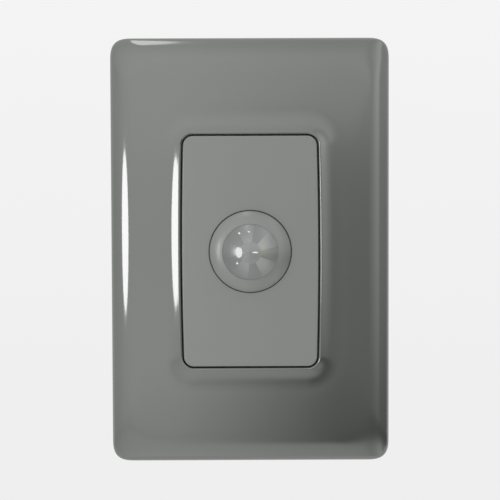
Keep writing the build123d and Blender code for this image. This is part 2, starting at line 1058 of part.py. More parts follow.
def trimmer_rotor(x):
    seat = sensor_board_front + trimmer_height - rotor_seat + running_gap
    solid = rod(rotor_radius, seat, rotor_front, x, -trimmer_y)
    solid = chamfer(solid.faces().sort_by(Axis.Z)[-1].edges(), rotor_slot_depth / 3)
    slot = block(
        2 * rotor_radius * drive_share,
        slot_cut,
        rotor_front - rotor_slot_depth,
        rotor_front + overrun,
        x,
        -trimmer_y,
    )
    arrow = block(
        slot_cut,
        rotor_radius * drive_share,
        rotor_front - rotor_slot_depth,
        rotor_front + overrun,
        x,
        rotor_radius * drive_share / 2 - trimmer_y,
    )
    return solid - slot - arrow


# Small parts behind the sensor board

def control_chip():
    back = sensor_board_back - chip_height
    solid = block(chip_width, chip_length, back, sensor_board_back - chip_leg_thick, chip_x, chip_y)
    for side in (-1, 1):
        for number in range(chip_legs):
            y = chip_y + (number - (chip_legs - 1) / 2) * chip_spacing
            solid += block(
                chip_leg_reach,
                chip_leg_width,
                sensor_board_back - 2 * chip_leg_thick,
                sensor_board_back,
                chip_x + side * (chip_width + chip_leg_reach) / 2,
                y,
            )
    return solid


def signal_capacitors():
    cans = Part()
    for x in (-signal_cap_spacing, 0, signal_cap_spacing):
        bottom = sensor_board_back - signal_cap_height
        can = rod(signal_cap_radius, bottom, sensor_board_back, x, signal_cap_y)
        cans += fillet(can.faces().sort_by(Axis.Z)[0].edges(), signal_cap_radius / 6)
    return cans


def sensor_board_chips():
    chips = Part()
    for number in range(smd_count):
        x = (number % smd_columns - (smd_columns - 1) / 2) * smd_spacing
        y = smd_y - number // smd_columns * smd_spacing
        chips += block(smd_length, smd_width, sensor_board_back - smd_height, sensor_board_back, x, y)
    return chips


# Parts on the power board

def film_x():
    return film_edge + film_width / 2 - power_board_wide() / 2


def film_places():
    return [(film_x(), film_y - film_spacing / 2), (film_x(), film_y + film_spacing / 2)]


def with_leads(solid, radius, places, start=power_board_front):
    for x, y in places:
        solid += rod(radius, power_board_back - lead_tail, start, x, y)
    return solid


def dropper_capacitor():
    solid = block(
        film_width, film_length, power_board_front, power_board_front + film_height, film_x(), film_y
    )
    solid = fillet(solid.edges().filter_by(Axis.Z), film_round)
    solid = fillet(solid.faces().sort_by(Axis.Z)[-1].edges(), film_round / 2)
    return with_leads(solid, film_lead, film_places())


def can_cap_places():
    return [(can_cap_x - can_cap_spacing / 2, can_cap_y), (can_cap_x + can_cap_spacing / 2, can_cap_y)]


def smoothing_capacitor():
    solid = rod(can_cap_radius, power_board_front, power_board_front + can_cap_height, can_cap_x, can_cap_y)
    solid = fillet(solid.faces().sort_by(Axis.Z)[-1].edges(), can_cap_round)
    return with_leads(solid, part_lead, can_cap_places())


def axial_part(radius, length, span, x, y):
    # Body lying on the board, with its leads bent down at both ends.
    level = power_board_front + radius
    solid = rod_across(radius, x - length / 2, x + length / 2, y, level)
    solid += rod_across(part_lead, x - span / 2 - part_lead, x + span / 2 + part_lead, y, level)
    return with_leads(solid, part_lead, [(x - span / 2, y), (x + span / 2, y)], level)


def diode_rows():
    return [diode_y - number * diode_spacing for number in range(diode_count)]


def diode_places():
    return [(diode_x + side * diode_span / 2, y) for y in diode_rows() for side in (-1, 1)]


def rectifier_diodes():
    diodes = Part()
    for y in diode_rows():
        diodes += axial_part(diode_radius, diode_length, diode_span, diode_x, y)
    return diodes


def fuse_places():
    return [(fuse_x - fuse_span / 2, fuse_y), (fuse_x + fuse_span / 2, fuse_y)]


def fuse_resistor():
    return axial_part(fuse_radius, fuse_length, fuse_span, fuse_x, fuse_y)


def varistor_places():
    return [(varistor_x - varistor_spacing / 2, varistor_y), (varistor_x + varistor_spacing / 2, varistor_y)]


def varistor():
    level = power_board_front + varistor_lift + varistor_radius
    half = varistor_thick / 2
    solid = rod_up(varistor_radius, varistor_y - half, varistor_y + half, varistor_x, level)
    solid = fillet(solid.edges().filter_by(GeomType.CIRCLE), half / 2)
    return with_leads(solid, part_lead, varistor_places(), level)


def transistor_places():
    return [(transistor_x + step * transistor_spacing, transistor_y) for step in (-1, 0, 1)]


def driver_transistor():
    back = power_board_front + transistor_lift
    front = back + transistor_height
    solid = rod(transistor_radius, back, front, transistor_x, transistor_y)
    solid -= block(
        2 * transistor_radius + overrun,
        transistor_radius,
        back - overrun,
        front + overrun,
        transistor_x,
        transistor_y - transistor_radius,
    )
    return with_leads(solid, part_lead, transistor_places(), back)


# Relay

def relay_x():
    return power_board_wide() / 2 - relay_edge - relay_width / 2


def relay_floor():
    return power_board_front + relay_base_thick


def coil_y():
    return relay_y + coil_place


def yoke_leg_y():
    return coil_y() - bobbin_flange - yoke_leg_gap - yoke_thick / 2


def contact_y():
    return relay_y + contact_place


def coil_pin_places():
    return [(relay_x() - coil_pin_x, coil_y() + coil_pin_y), (relay_x() + coil_pin_x, coil_y() + coil_pin_y)]


def relay_pin_places():
    return coil_pin_places() + [(relay_x(), yoke_leg_y()), (relay_x(), contact_y())]


def relay_base():
    solid = block(relay_width, relay_length, power_board_front, relay_floor(), relay_x(), relay_y)
    return drilled(solid, relay_pin + lead_gap, power_board_front, relay_floor(), relay_pin_places())


def relay_case():
    top = power_board_front + relay_height
    solid = block(relay_width, relay_length, relay_floor(), top, relay_x(), relay_y)
    solid = fillet(solid.edges().filter_by(Axis.Z), relay_case_round)
    solid = fillet(solid.faces().sort_by(Axis.Z)[-1].edges(), relay_case_round / 2)
    return solid - block(
        relay_width - 2 * relay_wall,
        relay_length - 2 * relay_wall,
        relay_floor() - overrun,
        top - relay_wall,
        relay_x(),
        relay_y,
    )


def bobbin_low():
    return relay_floor() + yoke_thick


def winding_low():
    return bobbin_low() + bobbin_flange_thick


def winding_high():
    return winding_low() + winding_height


def bobbin_high():
    return winding_high() + bobbin_flange_thick


def pole_front():
    return bobbin_high() + pole_thick


def armature_back():
    return pole_front() + armature_gap


def hinge_level():
    # The leg's rounded end, on which the armature rocks.
    return armature_back() - armature_lift - yoke_thick / 2


def relay_bobbin():
    solid = rod(coil_bore, bobbin_low(), bobbin_high(), relay_x(), coil_y())
    for back, front in ((bobbin_low(), winding_low()), (winding_high(), bobbin_high())):
        solid += block(2 * bobbin_flange, 2 * bobbin_flange, back, front, relay_x(), coil_y())
    return solid - rod(
        core_radius + core_bore_gap, bobbin_low() - overrun, bobbin_high() + overrun, relay_x(), coil_y()
    )


def relay_coil():
    wound = rod(coil_radius, winding_low(), winding_high(), relay_x(), coil_y())
    return wound - rod(coil_bore, winding_low() - overrun, winding_high() + overrun, relay_x(), coil_y())


def relay_core():
    shank = rod(core_radius, relay_floor(), bobbin_high(), relay_x(), coil_y())
    return shank + rod(pole_radius, bobbin_high(), pole_front(), relay_x(), coil_y())


def relay_yoke():
    foot_end = coil_y() + bobbin_flange
    foot_start = yoke_leg_y() - yoke_thick / 2
    solid = block(
        yoke_width,
        foot_end - foot_start,
        relay_floor(),
        bobbin_low(),
        relay_x(),
        (foot_end + foot_start) / 2,
    )
    solid += block(yoke_width, yoke_thick, relay_floor(), hinge_level(), relay_x(), yoke_leg_y())
    left = relay_x() - yoke_width / 2
    solid += rod_across(yoke_thick / 2, left, left + yoke_width, yoke_leg_y(), hinge_level())
    solid -= rod(
        core_radius + core_bore_gap, relay_floor() - overrun, bobbin_low() + overrun, relay_x(), coil_y()
    )
    return with_leads(solid, relay_pin, [(relay_x(), yoke_leg_y())], relay_floor())


def relay_armature():
    low = yoke_leg_y() - armature_tail
    high = relay_y + contact_place - contact_radius - contact_post
    return block(
        yoke_width, high - low, armature_back(), armature_back() + armature_thick, relay_x(), (low + high) / 2
    )


def relay_moving_contact():
    back = armature_back() + armature_thick
    low = coil_y() - armature_end / 2
    high = contact_y() + contact_radius
    solid = block(blade_width, high - low, back, back + blade_thick, relay_x(), (low + high) / 2)
    return solid + rod(contact_radius, back - contact_thick, back, relay_x(), contact_y())


def relay_fixed_contact():
    front = armature_back() + armature_thick - contact_thick - contact_gap
    solid = block(
        contact_post_width, contact_post, relay_floor(), front - contact_thick, relay_x(), contact_y()
    )
    solid += rod(contact_radius, front - contact_thick, front, relay_x(), contact_y())
    return with_leads(solid, relay_pin, [(relay_x(), contact_y())], relay_floor())


def relay_coil_pins():
    pins = Part()
    for x, y in coil_pin_places():
        pins += rod(relay_pin, power_board_back - lead_tail, winding_low(), x, y)
    return pins


# Terminals

def terminal_cage(x):
    middle = (cage_top() + cage_bottom()) / 2
    solid = block(cage_width, cage_height, cage_back(), cage_front(), x, middle)
    solid -= block(
        cage_width - 2 * cage_wall,
        cage_height - 2 * cage_wall,
        cage_back() - overrun,
        cage_front() + overrun,
        x,
        middle,
    )
    solid -= rod_up(
        terminal_screw_radius + running_gap,
        cage_bottom() - overrun,
        cage_bottom() + cage_wall + clamp_lift / 2,
        x,
        screw_level(),
    )
    tail_top = power_board_low() + tail_lap
    solid += block(
        tail_width,
        tail_top - cage_top() + cage_wall,
        tail_back(),
        power_board_back,
        x,
        (tail_top + cage_top() - cage_wall) / 2,
    )
    return solid


def terminal_cages():
    cages = Part()
    for x in terminal_places():
        cages += terminal_cage(x)
    return cages


def clamp_bottom():
    return cage_bottom() + cage_wall + clamp_lift


def terminal_clamp(x):
    solid = Pos(x, clamp_bottom() + clamp_thick / 2, screw_level()) * Box(
        cage_width - 2 * cage_wall - 2 * clamp_side_gap, clamp_thick, clamp_length
    )
    return solid - rod_up(
        terminal_screw_tip + running_gap,
        clamp_bottom() - overrun,
        clamp_bottom() + clamp_thick + overrun,
        x,
        screw_level(),
    )


def terminal_screw(x):
    head_low = head_floor_gap - inner_height / 2
    head_high = head_low + terminal_screw_head_height
    shoulder = clamp_bottom() - running_gap
    tip = clamp_bottom() + clamp_thick - running_gap
    solid = rod_up(terminal_screw_head, head_low, head_high, x, screw_level())
    solid += rod_up(terminal_screw_radius, head_high, shoulder, x, screw_level())
    solid += rod_up(terminal_screw_tip, shoulder, tip, x, screw_level())
    slot = Pos(x, head_low, screw_level()) * Box(
        2 * terminal_screw_head * drive_share, 2 * slot_cut, slot_cut
    )
    return solid - slot


pieces = {
    "wall_plate": wall_plate(),
    "front_cover": front_cover(),
    "lens_collar": lens_collar(),
    "fresnel_lens": fresnel_lens(),
    "mounting_frame": mounting_frame(),
    "box_screws": box_screws(),
    "front_chassis": front_chassis(),
    "rear_housing": rear_housing(),
    "sensor_board": sensor_board(),
    "board_screws": board_screws(),
    "pir_seat": pir_seat(),
    "pir_sensor": pir_sensor(),
    "pir_window": pir_window(),
    "pir_leads": pir_leads(),
    "light_sensor": light_sensor(),
    "indicator_led": indicator_led(),
    "time_trimmer_body": trimmer_body(-trimmer_x),
    "time_trimmer_rotor": trimmer_rotor(-trimmer_x),
    "lux_trimmer_body": trimmer_body(trimmer_x),
    "lux_trimmer_rotor": trimmer_rotor(trimmer_x),
    "control_chip": control_chip(),
    "signal_capacitors": signal_capacitors(),
    "sensor_board_chips": sensor_board_chips(),
    "header_pins": header_pins(),
    "header_blocks": header_blocks(),
    "power_board": power_board(),
    "power_board_screws": power_board_screws(),
    "dropper_capacitor": dropper_capacitor(),
    "smoothing_capacitor": smoothing_capacitor(),
    "rectifier_diodes": rectifier_diodes(),
    "fuse_resistor": fuse_resistor(),
    "varistor": varistor(),
    "driver_transistor": driver_transistor(),
    "relay_base": relay_base(),
    "relay_case": relay_case(),
    "relay_bobbin": relay_bobbin(),
    "relay_coil": relay_coil(),
    "relay_core": relay_core(),
    "relay_yoke": relay_yoke(),
    "relay_armature": relay_armature(),
    "relay_moving_contact": relay_moving_contact(),
    "relay_fixed_contact": relay_fixed_contact(),
    "relay_coil_pins": relay_coil_pins(),
    "terminal_cages": terminal_cages(),
}
for number, x in enumerate(terminal_places(), start=1):
    pieces[f"terminal_clamp_{number}"] = terminal_clamp(x)
    pieces[f"terminal_screw_{number}"] = terminal_screw(x)
for name, shape in pieces.items():
    keep(name, shape)
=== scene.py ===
import math
import bmesh
import bpy
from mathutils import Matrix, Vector


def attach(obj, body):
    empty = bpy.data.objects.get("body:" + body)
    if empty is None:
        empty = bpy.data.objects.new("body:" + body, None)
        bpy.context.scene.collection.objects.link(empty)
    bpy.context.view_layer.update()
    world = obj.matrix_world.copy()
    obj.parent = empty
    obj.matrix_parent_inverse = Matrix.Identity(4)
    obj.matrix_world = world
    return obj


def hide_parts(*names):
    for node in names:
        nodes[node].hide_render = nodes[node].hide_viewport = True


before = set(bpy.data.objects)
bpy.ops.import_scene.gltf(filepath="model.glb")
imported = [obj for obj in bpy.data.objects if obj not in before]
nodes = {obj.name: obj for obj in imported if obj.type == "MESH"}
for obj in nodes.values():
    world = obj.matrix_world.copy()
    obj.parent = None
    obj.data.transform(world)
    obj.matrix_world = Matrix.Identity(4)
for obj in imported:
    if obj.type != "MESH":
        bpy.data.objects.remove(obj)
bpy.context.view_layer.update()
mm = 0.001
print("frame loaded,", len(nodes), "nodes")


# Camera and lamps
view = {  # lengths in mm, angles in degrees
    "aim": (-0.027, 0, -0.19),
    "distance": 637.8,
    "azimuth": -0.27,
    "elevation": 3.867,
    "roll": -0.2,
    "lens": 160.1,
    "sensor": 36,
    "nearest": 10,
}


def addCamera():
    azimuth, elevation = math.radians(view["azimuth"]), math.radians(view["elevation"])
    towards = Vector((
        math.sin(azimuth) * math.cos(elevation),
        -math.cos(azimuth) * math.cos(elevation),
        math.sin(elevation),
    ))
    place = Vector(view["aim"]) * mm + towards * view["distance"] * mm
    bpy.ops.object.camera_add(location=place)
    camera = bpy.context.object
    camera.name = "camera"
    camera.rotation_euler = (-towards).to_track_quat("-Z", "Y").to_euler()
    camera.rotation_euler.rotate_axis("Z", math.radians(view["roll"]))
    camera.data.lens = view["lens"]
    camera.data.sensor_width = view["sensor"]
    camera.data.clip_start = view["nearest"] * mm
    bpy.context.scene.camera = camera


lamps = {  # place and aim in mm, size in mm, strength in watts
    "keyLamp": {"place": (-116, -149, -4), "aim": (0, 0, 0), "size": (68, 58), "power": 0.048},
    "topStrip": {"place": (-69, -85, 540), "aim": (-69, -6, 58), "size": (70, 400), "power": 0.145},
}


def addLamps():
    for name, values in lamps.items():
        bpy.ops.object.light_add(type="AREA", location=[c * mm for c in values["place"]])
        lamp = bpy.context.object
        lamp.name = name
        lamp.data.shape = "ELLIPSE"
        lamp.data.size = values["size"][0] * mm
        lamp.data.size_y = values["size"][1] * mm
        lamp.visible_camera = False
        lamp.data.energy = values["power"]
        direction = Vector(values["aim"]) - Vector(values["place"])
        lamp.rotation_euler = direction.to_track_quat("-Z", "Y").to_euler()


addCamera()
addLamps()
print("camera and lamps placed")


# Helpers for materials
def addNode(tree, kind, place, values=None, **settings):
    node = tree.nodes.new(kind)
    node.location = place
    for key, value in settings.items():
        setattr(node, key, value)
    for socket, value in (values or {}).items():
        node.inputs[socket].default_value = value
    return node


def addMath(tree, place, operation, second=None, clamp=False):
    values = {} if second is None else {1: second}
    return addNode(tree, "ShaderNodeMath", place, values, operation=operation, use_clamp=clamp)


def addRange(tree, place, start, end, smooth=False):
    # Map Range node that carries the two values of start over to those of end
    values = dict(zip(("From Min", "From Max", "To Min", "To Max"), (*start, *end)))
    kind = "SMOOTHSTEP" if smooth else "LINEAR"
    return addNode(tree, "ShaderNodeMapRange", place, values, interpolation_type=kind)


def link(tree, *rows):
    # Each row: a node, its output, the next node, its input
    for start, output, end, socket in rows:
        tree.links.new(start.outputs[output], end.inputs[socket])


def newGroup(name, inputs, outputs):
    group = bpy.data.node_groups.new(name, "ShaderNodeTree")
    for label, kind, value in inputs:
        socket = group.interface.new_socket(name=label, in_out="INPUT", socket_type=kind)
        if value is not None:
            socket.default_value = value
    for label, kind in outputs:
        group.interface.new_socket(name=label, in_out="OUTPUT", socket_type=kind)
    start = addNode(group, "NodeGroupInput", (-900, 0))
    end = addNode(group, "NodeGroupOutput", (900, 0))
    return group, start, end


finishOutputs = [
    ("Color", "NodeSocketColor"),
    ("Roughness", "NodeSocketFloat"),
    ("Normal", "NodeSocketVector"),
]


def mouldedPlasticGroup():
    # Moulded plastic: fine grain as bump, slow flow marks in tone and roughness
    group, start, end = newGroup(
        "mouldedPlastic",
        [
            ("Vector", "NodeSocketVector", None),
            ("Color", "NodeSocketColor", (0.5, 0.5, 0.5, 1)),
            ("Grain Scale", "NodeSocketFloat", 4000),
            ("Flow Scale", "NodeSocketFloat", 40),
            ("Flow Amount", "NodeSocketFloat", 0.05),
            ("Roughness", "NodeSocketFloat", 0.4),
            ("Roughness Change", "NodeSocketFloat", 0.05),
            ("Bump Strength", "NodeSocketFloat", 0.1),
            ("Bump Distance", "NodeSocketFloat", 0.00002),
        ],
        finishOutputs,
    )
    grain = addNode(group, "ShaderNodeTexNoise", (-600, 200), {"Detail": 3, "Roughness": 0.6})
    flow = addNode(group, "ShaderNodeTexNoise", (-600, -100), {"Detail": 4, "Distortion": 0.6})
    shift = addMath(group, (-350, -100), "SUBTRACT", 0.5)
    amount = addMath(group, (-150, -100), "MULTIPLY")
    value = addMath(group, (50, -100), "ADD", 1.0)
    tint = addNode(group, "ShaderNodeHueSaturation", (300, -50))
    change = addMath(group, (-150, -300), "MULTIPLY")
    rough = addMath(group, (50, -300), "ADD", clamp=True)
    bump = addNode(group, "ShaderNodeBump", (300, 250))
    link(
        group,
        (start, "Vector", grain, "Vector"),
        (start, "Vector", flow, "Vector"),
        (start, "Grain Scale", grain, "Scale"),
        (start, "Flow Scale", flow, "Scale"),
        (flow, "Fac", shift, 0),
        (shift, 0, amount, 0),
        (start, "Flow Amount", amount, 1),
        (amount, 0, value, 0),
        (value, 0, tint, "Value"),
        (start, "Color", tint, "Color"),
        (tint, "Color", end, "Color"),
        (shift, 0, change, 0),
        (start, "Roughness Change", change, 1),
        (start, "Roughness", rough, 0),
        (change, 0, rough, 1),
        (rough, 0, end, "Roughness"),
        (grain, "Fac", bump, "Height"),
        (start, "Bump Strength", bump, "Strength"),
        (start, "Bump Distance", bump, "Distance"),
        (bump, "Normal", end, "Normal"),
    )
    return group


metalStain = {"scale": 260, "detail": 5, "range": (0.5, 0.75)}


def platedMetalGroup():
    # Drawn or rolled metal: streaks along one axis and faint stains
    group, start, end = newGroup(
        "platedMetal",
        [
            ("Vector", "NodeSocketVector", None),
            ("Color", "NodeSocketColor", (0.6, 0.6, 0.6, 1)),
            ("Stain Color", "NodeSocketColor", (0.4, 0.4, 0.4, 1)),
            ("Stretch", "NodeSocketVector", (3000, 200, 3000)),
            ("Roughness", "NodeSocketFloat", 0.3),
            ("Roughness Change", "NodeSocketFloat", 0.2),
            ("Bump Strength", "NodeSocketFloat", 0.1),
        ],
        finishOutputs,
    )
    stretch = addNode(group, "ShaderNodeVectorMath", (-700, 200), operation="MULTIPLY")
    streak = addNode(group, "ShaderNodeTexNoise", (-450, 200), {"Scale": 1, "Detail": 3})
    values = {"Scale": metalStain["scale"], "Detail": metalStain["detail"]}
    stain = addNode(group, "ShaderNodeTexNoise", (-450, -100), values)
    curve = addRange(group, (-200, -100), metalStain["range"], (0, 1))
    mix = addNode(group, "ShaderNodeMix", (50, 0), data_type="RGBA")
    change = addMath(group, (-200, -350), "MULTIPLY")
    rough = addMath(group, (50, -350), "ADD", clamp=True)
    bump = addNode(group, "ShaderNodeBump", (300, 250), {"Distance": 0.00002})
    link(
        group,
        (start, "Vector", stretch, 0),
        (start, "Stretch", stretch, 1),
        (stretch, 0, streak, "Vector"),
        (start, "Vector", stain, "Vector"),
        (stain, "Fac", curve, "Value"),
        (curve, "Result", mix, "Factor"),
        (start, "Color", mix, "A"),
        (start, "Stain Color", mix, "B"),
        (mix, "Result", end, "Color"),
        (streak, "Fac", change, 0),
        (start, "Roughness Change", change, 1),
        (start, "Roughness", rough, 0),
        (change, 0, rough, 1),
        (rough, 0, end, "Roughness"),
        (streak, "Fac", bump, "Height"),
        (start, "Bump Strength", bump, "Strength"),
        (bump, "Normal", end, "Normal"),
    )
    return group


mouldedPlastic = mouldedPlasticGroup()
platedMetal = platedMetalGroup()


def newMaterial(name, colour):
    material = bpy.data.materials.new(name)
    material.use_nodes = True
    material.diffuse_color = (*colour, 1)
    tree = material.node_tree
    shader = tree.nodes["Principled BSDF"]
    coords = addNode(tree, "ShaderNodeTexCoord", (-1100, 0))
    return material, tree, shader, coords


def groupMaterial(name, look, group, values):
    # Material that takes colour, roughness and normal from one group
    material, tree, shader, coords = newMaterial(name, look["colour"])
    values = {"Color": (*look["colour"], 1), "Roughness": look["roughness"], **values}
    source = addNode(tree, "ShaderNodeGroup", (-500, 0), values, node_tree=group)
    link(
        tree,
        (coords, "Object", source, "Vector"),
        (source, "Color", shader, "Base Color"),
        (source, "Roughness", shader, "Roughness"),
        (source, "Normal", shader, "Normal"),
    )
    return material, shader


def plasticMaterial(name, look):
    material, shader = groupMaterial(name, look, mouldedPlastic, look["grain"])
    shader.inputs["IOR"].default_value = look.get("ior", 1.5)
    shader.inputs["Specular IOR Level"].default_value = look.get("specular", 0.5)
    shader.inputs["Coat Weight"].default_value = look.get("coat", 0)
    return material


def metalMaterial(name, look):
    values = {"Stain Color": (*look["stain"], 1), "Stretch": look.get("stretch", (3000, 200, 3000))}
    material, shader = groupMaterial(name, look, platedMetal, values)
    shader.inputs["Metallic"].default_value = 1
    return material


# Helpers for modelling
def choose(*pieces):
    # Selects these pieces alone, the first one active
    bpy.ops.object.select_all(action="DESELECT")
    for piece in pieces:
        piece.select_set(True)
    bpy.context.view_layer.objects.active = pieces[0]


def startEdit(piece, mode="VERT"):
    choose(piece)
    bpy.ops.object.mode_set(mode="EDIT")
    bpy.ops.mesh.select_mode(type=mode)
    bpy.ops.mesh.select_all(action="DESELECT")


def selectEdges(piece, wanted):
    mesh = bmesh.from_edit_mesh(piece.data)
    for edge in mesh.edges:
        edge.select_set(bool(wanted(edge)))
    bmesh.update_edit_mesh(piece.data)


def closeUp(piece, distance=0.000001):
    startEdit(piece)
    bpy.ops.mesh.select_all(action="SELECT")
    bpy.ops.mesh.remove_doubles(threshold=distance)
    bpy.ops.mesh.normals_make_consistent(inside=False)
    bpy.ops.object.mode_set(mode="OBJECT")


def smooth(piece, angle):
    choose(piece)
    bpy.ops.object.shade_smooth_by_angle(angle=math.radians(angle))


def dress(piece, body, material, slotName, *replaced):
    piece.data.materials.clear()
    piece.data.materials.append(material)
    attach(piece, body)
    if replaced:
        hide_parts(*replaced)


# Wall plate
plateForm = {  # mm
    "width": 79.0,
    "height": 120.5,
    "corner": 6.8,
    "cornerSquareness": 0.646,
    "side": 4.2,
    "sideRingShare": 0.6,
    "rollWidth": 6.5,
    "rollRise": 3.85,
    "rollEndAngle": 85.5,
    "rollCorner": 13.0,
    "rollSteps": 13,
    "crownSteps": 9,
    "crownRounding": 6.0,
    "edgeBreak": 0.2,
    "lipFoot": 8.2,
    "lip": {"start": 6.5, "end": 0.6, "slope": 20.0, "spread": 3.0, "power": 2.2, "least": 0.006},
    "lipSteps": 20,
    "openingRound": 0.6,
    "openingRoundSteps": 5,
    "seam": 0.375,
    "guideWall": 1.5,
    "guideEnd": 4.35,
    "ceiling": 5.85,
    "ceilingFall": 0.1,
    "ceilingSteps": 5,
    "backLevel": 0.05,
    "wall": 2.2,
    "hollowSide": 3.3,
    "hollowInset": 4.5,
    "cornerSegments": 14,
    "sideCuts": 13,
    "straightShare": 0.15,  # edges longer than this share of the ring's shorter side are cut
    "smoothAngle": 40,  # degrees
}
insertForm = {"width": 38.6, "height": 65.4, "corner": 2.8, "squareness": 0.5, "bow": 0.4}  # mm


def addOutline(number, width, height, corner, squareness, level, bow=0.0):
    # One closed outline parallel to the wall, made from a plane with rounded corners
    bpy.ops.object.select_all(action="DESELECT")
    bpy.ops.mesh.primitive_plane_add(size=1, rotation=(math.pi / 2, 0, 0))
    ring = bpy.context.object
    ring.scale = ((width - 2 * bow) * mm, height * mm, 1)
    ring.location = (0, -level * mm, 0)
    bpy.ops.object.transform_apply(location=True, rotation=True, scale=True)
    bpy.ops.object.mode_set(mode="EDIT")
    bpy.ops.mesh.select_mode(type="VERT")
    bpy.ops.mesh.select_all(action="SELECT")
    bpy.ops.mesh.bevel(
        offset=corner * mm,
        segments=plateForm["cornerSegments"],
        profile=squareness,
        affect="VERTICES",
    )
    bpy.ops.mesh.select_all(action="SELECT")
    bpy.ops.mesh.delete(type="ONLY_FACE")
    bpy.ops.mesh.select_mode(type="EDGE")
    straight = plateForm["straightShare"] * min(width, height) * mm
    selectEdges(ring, lambda edge: edge.calc_length() > straight)
    bpy.ops.mesh.subdivide(number_cuts=plateForm["sideCuts"])
    bpy.ops.object.mode_set(mode="OBJECT")
    reach = (height / 2 - corner) * mm
    for vertex in ring.data.vertices:
        if bow and abs(vertex.co.z) < reach and abs(vertex.co.x) > width * mm / 4:
            out = bow * mm * (1 - (vertex.co.z / reach) ** 2)
            vertex.co.x += math.copysign(out, vertex.co.x)
    mark = ring.data.attributes.new("outline", "INT", "POINT")
    mark.data.foreach_set("value", [number] * len(ring.data.vertices))
    return ring


def bridgeOutlines(rings, name):
    # Joins the outlines into one closed skin, the last back to the first
    choose(*rings)
    piece = rings[0]
    bpy.ops.object.join()
    piece.name = piece.data.name = name
    startEdit(piece, "EDGE")
    total = len(rings)
    for step in range(total):
        mesh = bmesh.from_edit_mesh(piece.data)
        layer = mesh.verts.layers.int["outline"]
        pair = (step, (step + 1) % total)
        for edge in mesh.edges:
            first, second = (vertex[layer] for vertex in edge.verts)
            edge.select_set(first == second and first in pair)
        bmesh.update_edit_mesh(piece.data)
        bpy.ops.mesh.bridge_edge_loops()
    bpy.ops.mesh.select_all(action="SELECT")
    bpy.ops.mesh.normals_make_consistent(inside=False)
    bpy.ops.object.mode_set(mode="OBJECT")
    return piece


def eased(share, slope):
    # Curve from 0 to 1 with the same slope at both ends
    return slope * share + 3 * (1 - slope) * share**2 - 2 * (1 - slope) * share**3


def plateOutlines():
    # Rings from the back edge over side, roll, crown and lip, through the opening and round the hollow
    form = plateForm
    width, height, corner = form["width"], form["height"], form["corner"]
    square = form["cornerSquareness"]
    rows = []
    edge = form["edgeBreak"]
    rows.append((width - 2 * edge, height - 2 * edge, corner - edge, square, 0, 0))
    rows.append((width, height, corner, square, edge, 0))
    rows.append((width, height, corner, square, form["side"] * form["sideRingShare"], 0))
    for step in range(form["rollSteps"] + 1):
        angle = math.radians(form["rollEndAngle"]) * step / form["rollSteps"]
        inset = form["rollWidth"] * (1 - math.cos(angle))
        level = form["side"] + form["rollRise"] * math.sin(angle)
        turn = corner + (form["rollCorner"] - corner) * inset / form["rollWidth"]
        rows.append((width - 2 * inset, height - 2 * inset, turn, square, level, 0))
    start = rows[-1]
    startSlope = form["rollRise"] / form["rollWidth"] / math.tan(angle)
    lipOut = form["lip"]["start"] + form["seam"]
    end = (
        insertForm["width"] + 2 * lipOut,
        insertForm["height"] + 2 * lipOut,
        insertForm["corner"] + lipOut,
        insertForm["squareness"],
        form["lipFoot"],
        insertForm["bow"],
    )
    run = (start[0] - end[0]) / 2
    tallRun = (start[1] - end[1]) / 2
    rise = end[4] - start[4]
    for step in range(1, form["crownSteps"]):
        share = step / form["crownSteps"]
        row = [a + (b - a) * share for a, b in zip(start, end)]
        row[1] = start[1] + (end[1] - start[1]) * eased(share, run / tallRun)
        row[2] += form["crownRounding"] * 4 * share * (1 - share)
        row[4] = start[4] + startSlope * run * share + (rise - startSlope * run) * share**2
        rows.append(tuple(row))

    def insertRow(grow, level):
        return (
            insertForm["width"] + 2 * grow,
            insertForm["height"] + 2 * grow,
            insertForm["corner"] + grow,
            insertForm["squareness"],
            level,
            insertForm["bow"],
        )

    lip = form["lip"]
    stride = (lip["start"] - lip["end"]) / form["lipSteps"]
    top = form["lipFoot"]
    for step in range(form["lipSteps"] + 1):
        distance = lip["start"] - stride * step
        rows.append(insertRow(form["seam"] + distance, top))
        middle = (distance - stride / 2) / lip["spread"]
        swell = math.exp(-(middle ** lip["power"]))
        lean = math.tan(math.radians(lip["slope"])) * swell + lip["least"]
        top += stride * lean if step < form["lipSteps"] else 0
    radius = form["openingRound"]
    for step in range(1, form["openingRoundSteps"] + 1):
        angle = math.pi / 2 * step / form["openingRoundSteps"]
        grow = form["seam"] + radius * (1 - math.sin(angle))
        rows.append(insertRow(grow, top - radius * (1 - math.cos(angle))))
    rows.append(insertRow(form["seam"], form["guideEnd"]))
    rows.append(insertRow(form["seam"] + form["guideWall"], form["guideEnd"]))
    rows.append(insertRow(form["seam"] + form["guideWall"], form["ceiling"]))
    hollowWidth, hollowHeight = width - 2 * form["wall"], height - 2 * form["wall"]
    inner = corner - form["wall"]
    inset = form["hollowInset"]
    start = rows[-1]
    fallen = form["ceiling"] - form["ceilingFall"]
    end = (hollowWidth - 2 * inset, hollowHeight - 2 * inset, inner, square, fallen, 0)
    count = form["ceilingSteps"]
    for step in range(1, count + 1):
        rows.append(tuple(a + (b - a) * step / count for a, b in zip(start, end)))
    rows.append((hollowWidth, hollowHeight, inner, square, form["hollowSide"], 0))
    rows.append((hollowWidth, hollowHeight, inner, square, edge, 0))
    back = form["backLevel"]
    rows.append((hollowWidth + 2 * edge, hollowHeight + 2 * edge, inner + edge, square, back, 0))
    return rows


tongueForm = {  # mm
    "x": 29.0,
    "z": 46.0,
    "width": 7.0,
    "thick": 1.6,
    "end": 0.6,
    "root": 0.4,
    "bead": 0.15,
    "beadHeight": 0.8,
    "beadCuts": (-0.05, 0.25),
    "slack": 0.1,
    "edge": 0.12,
}


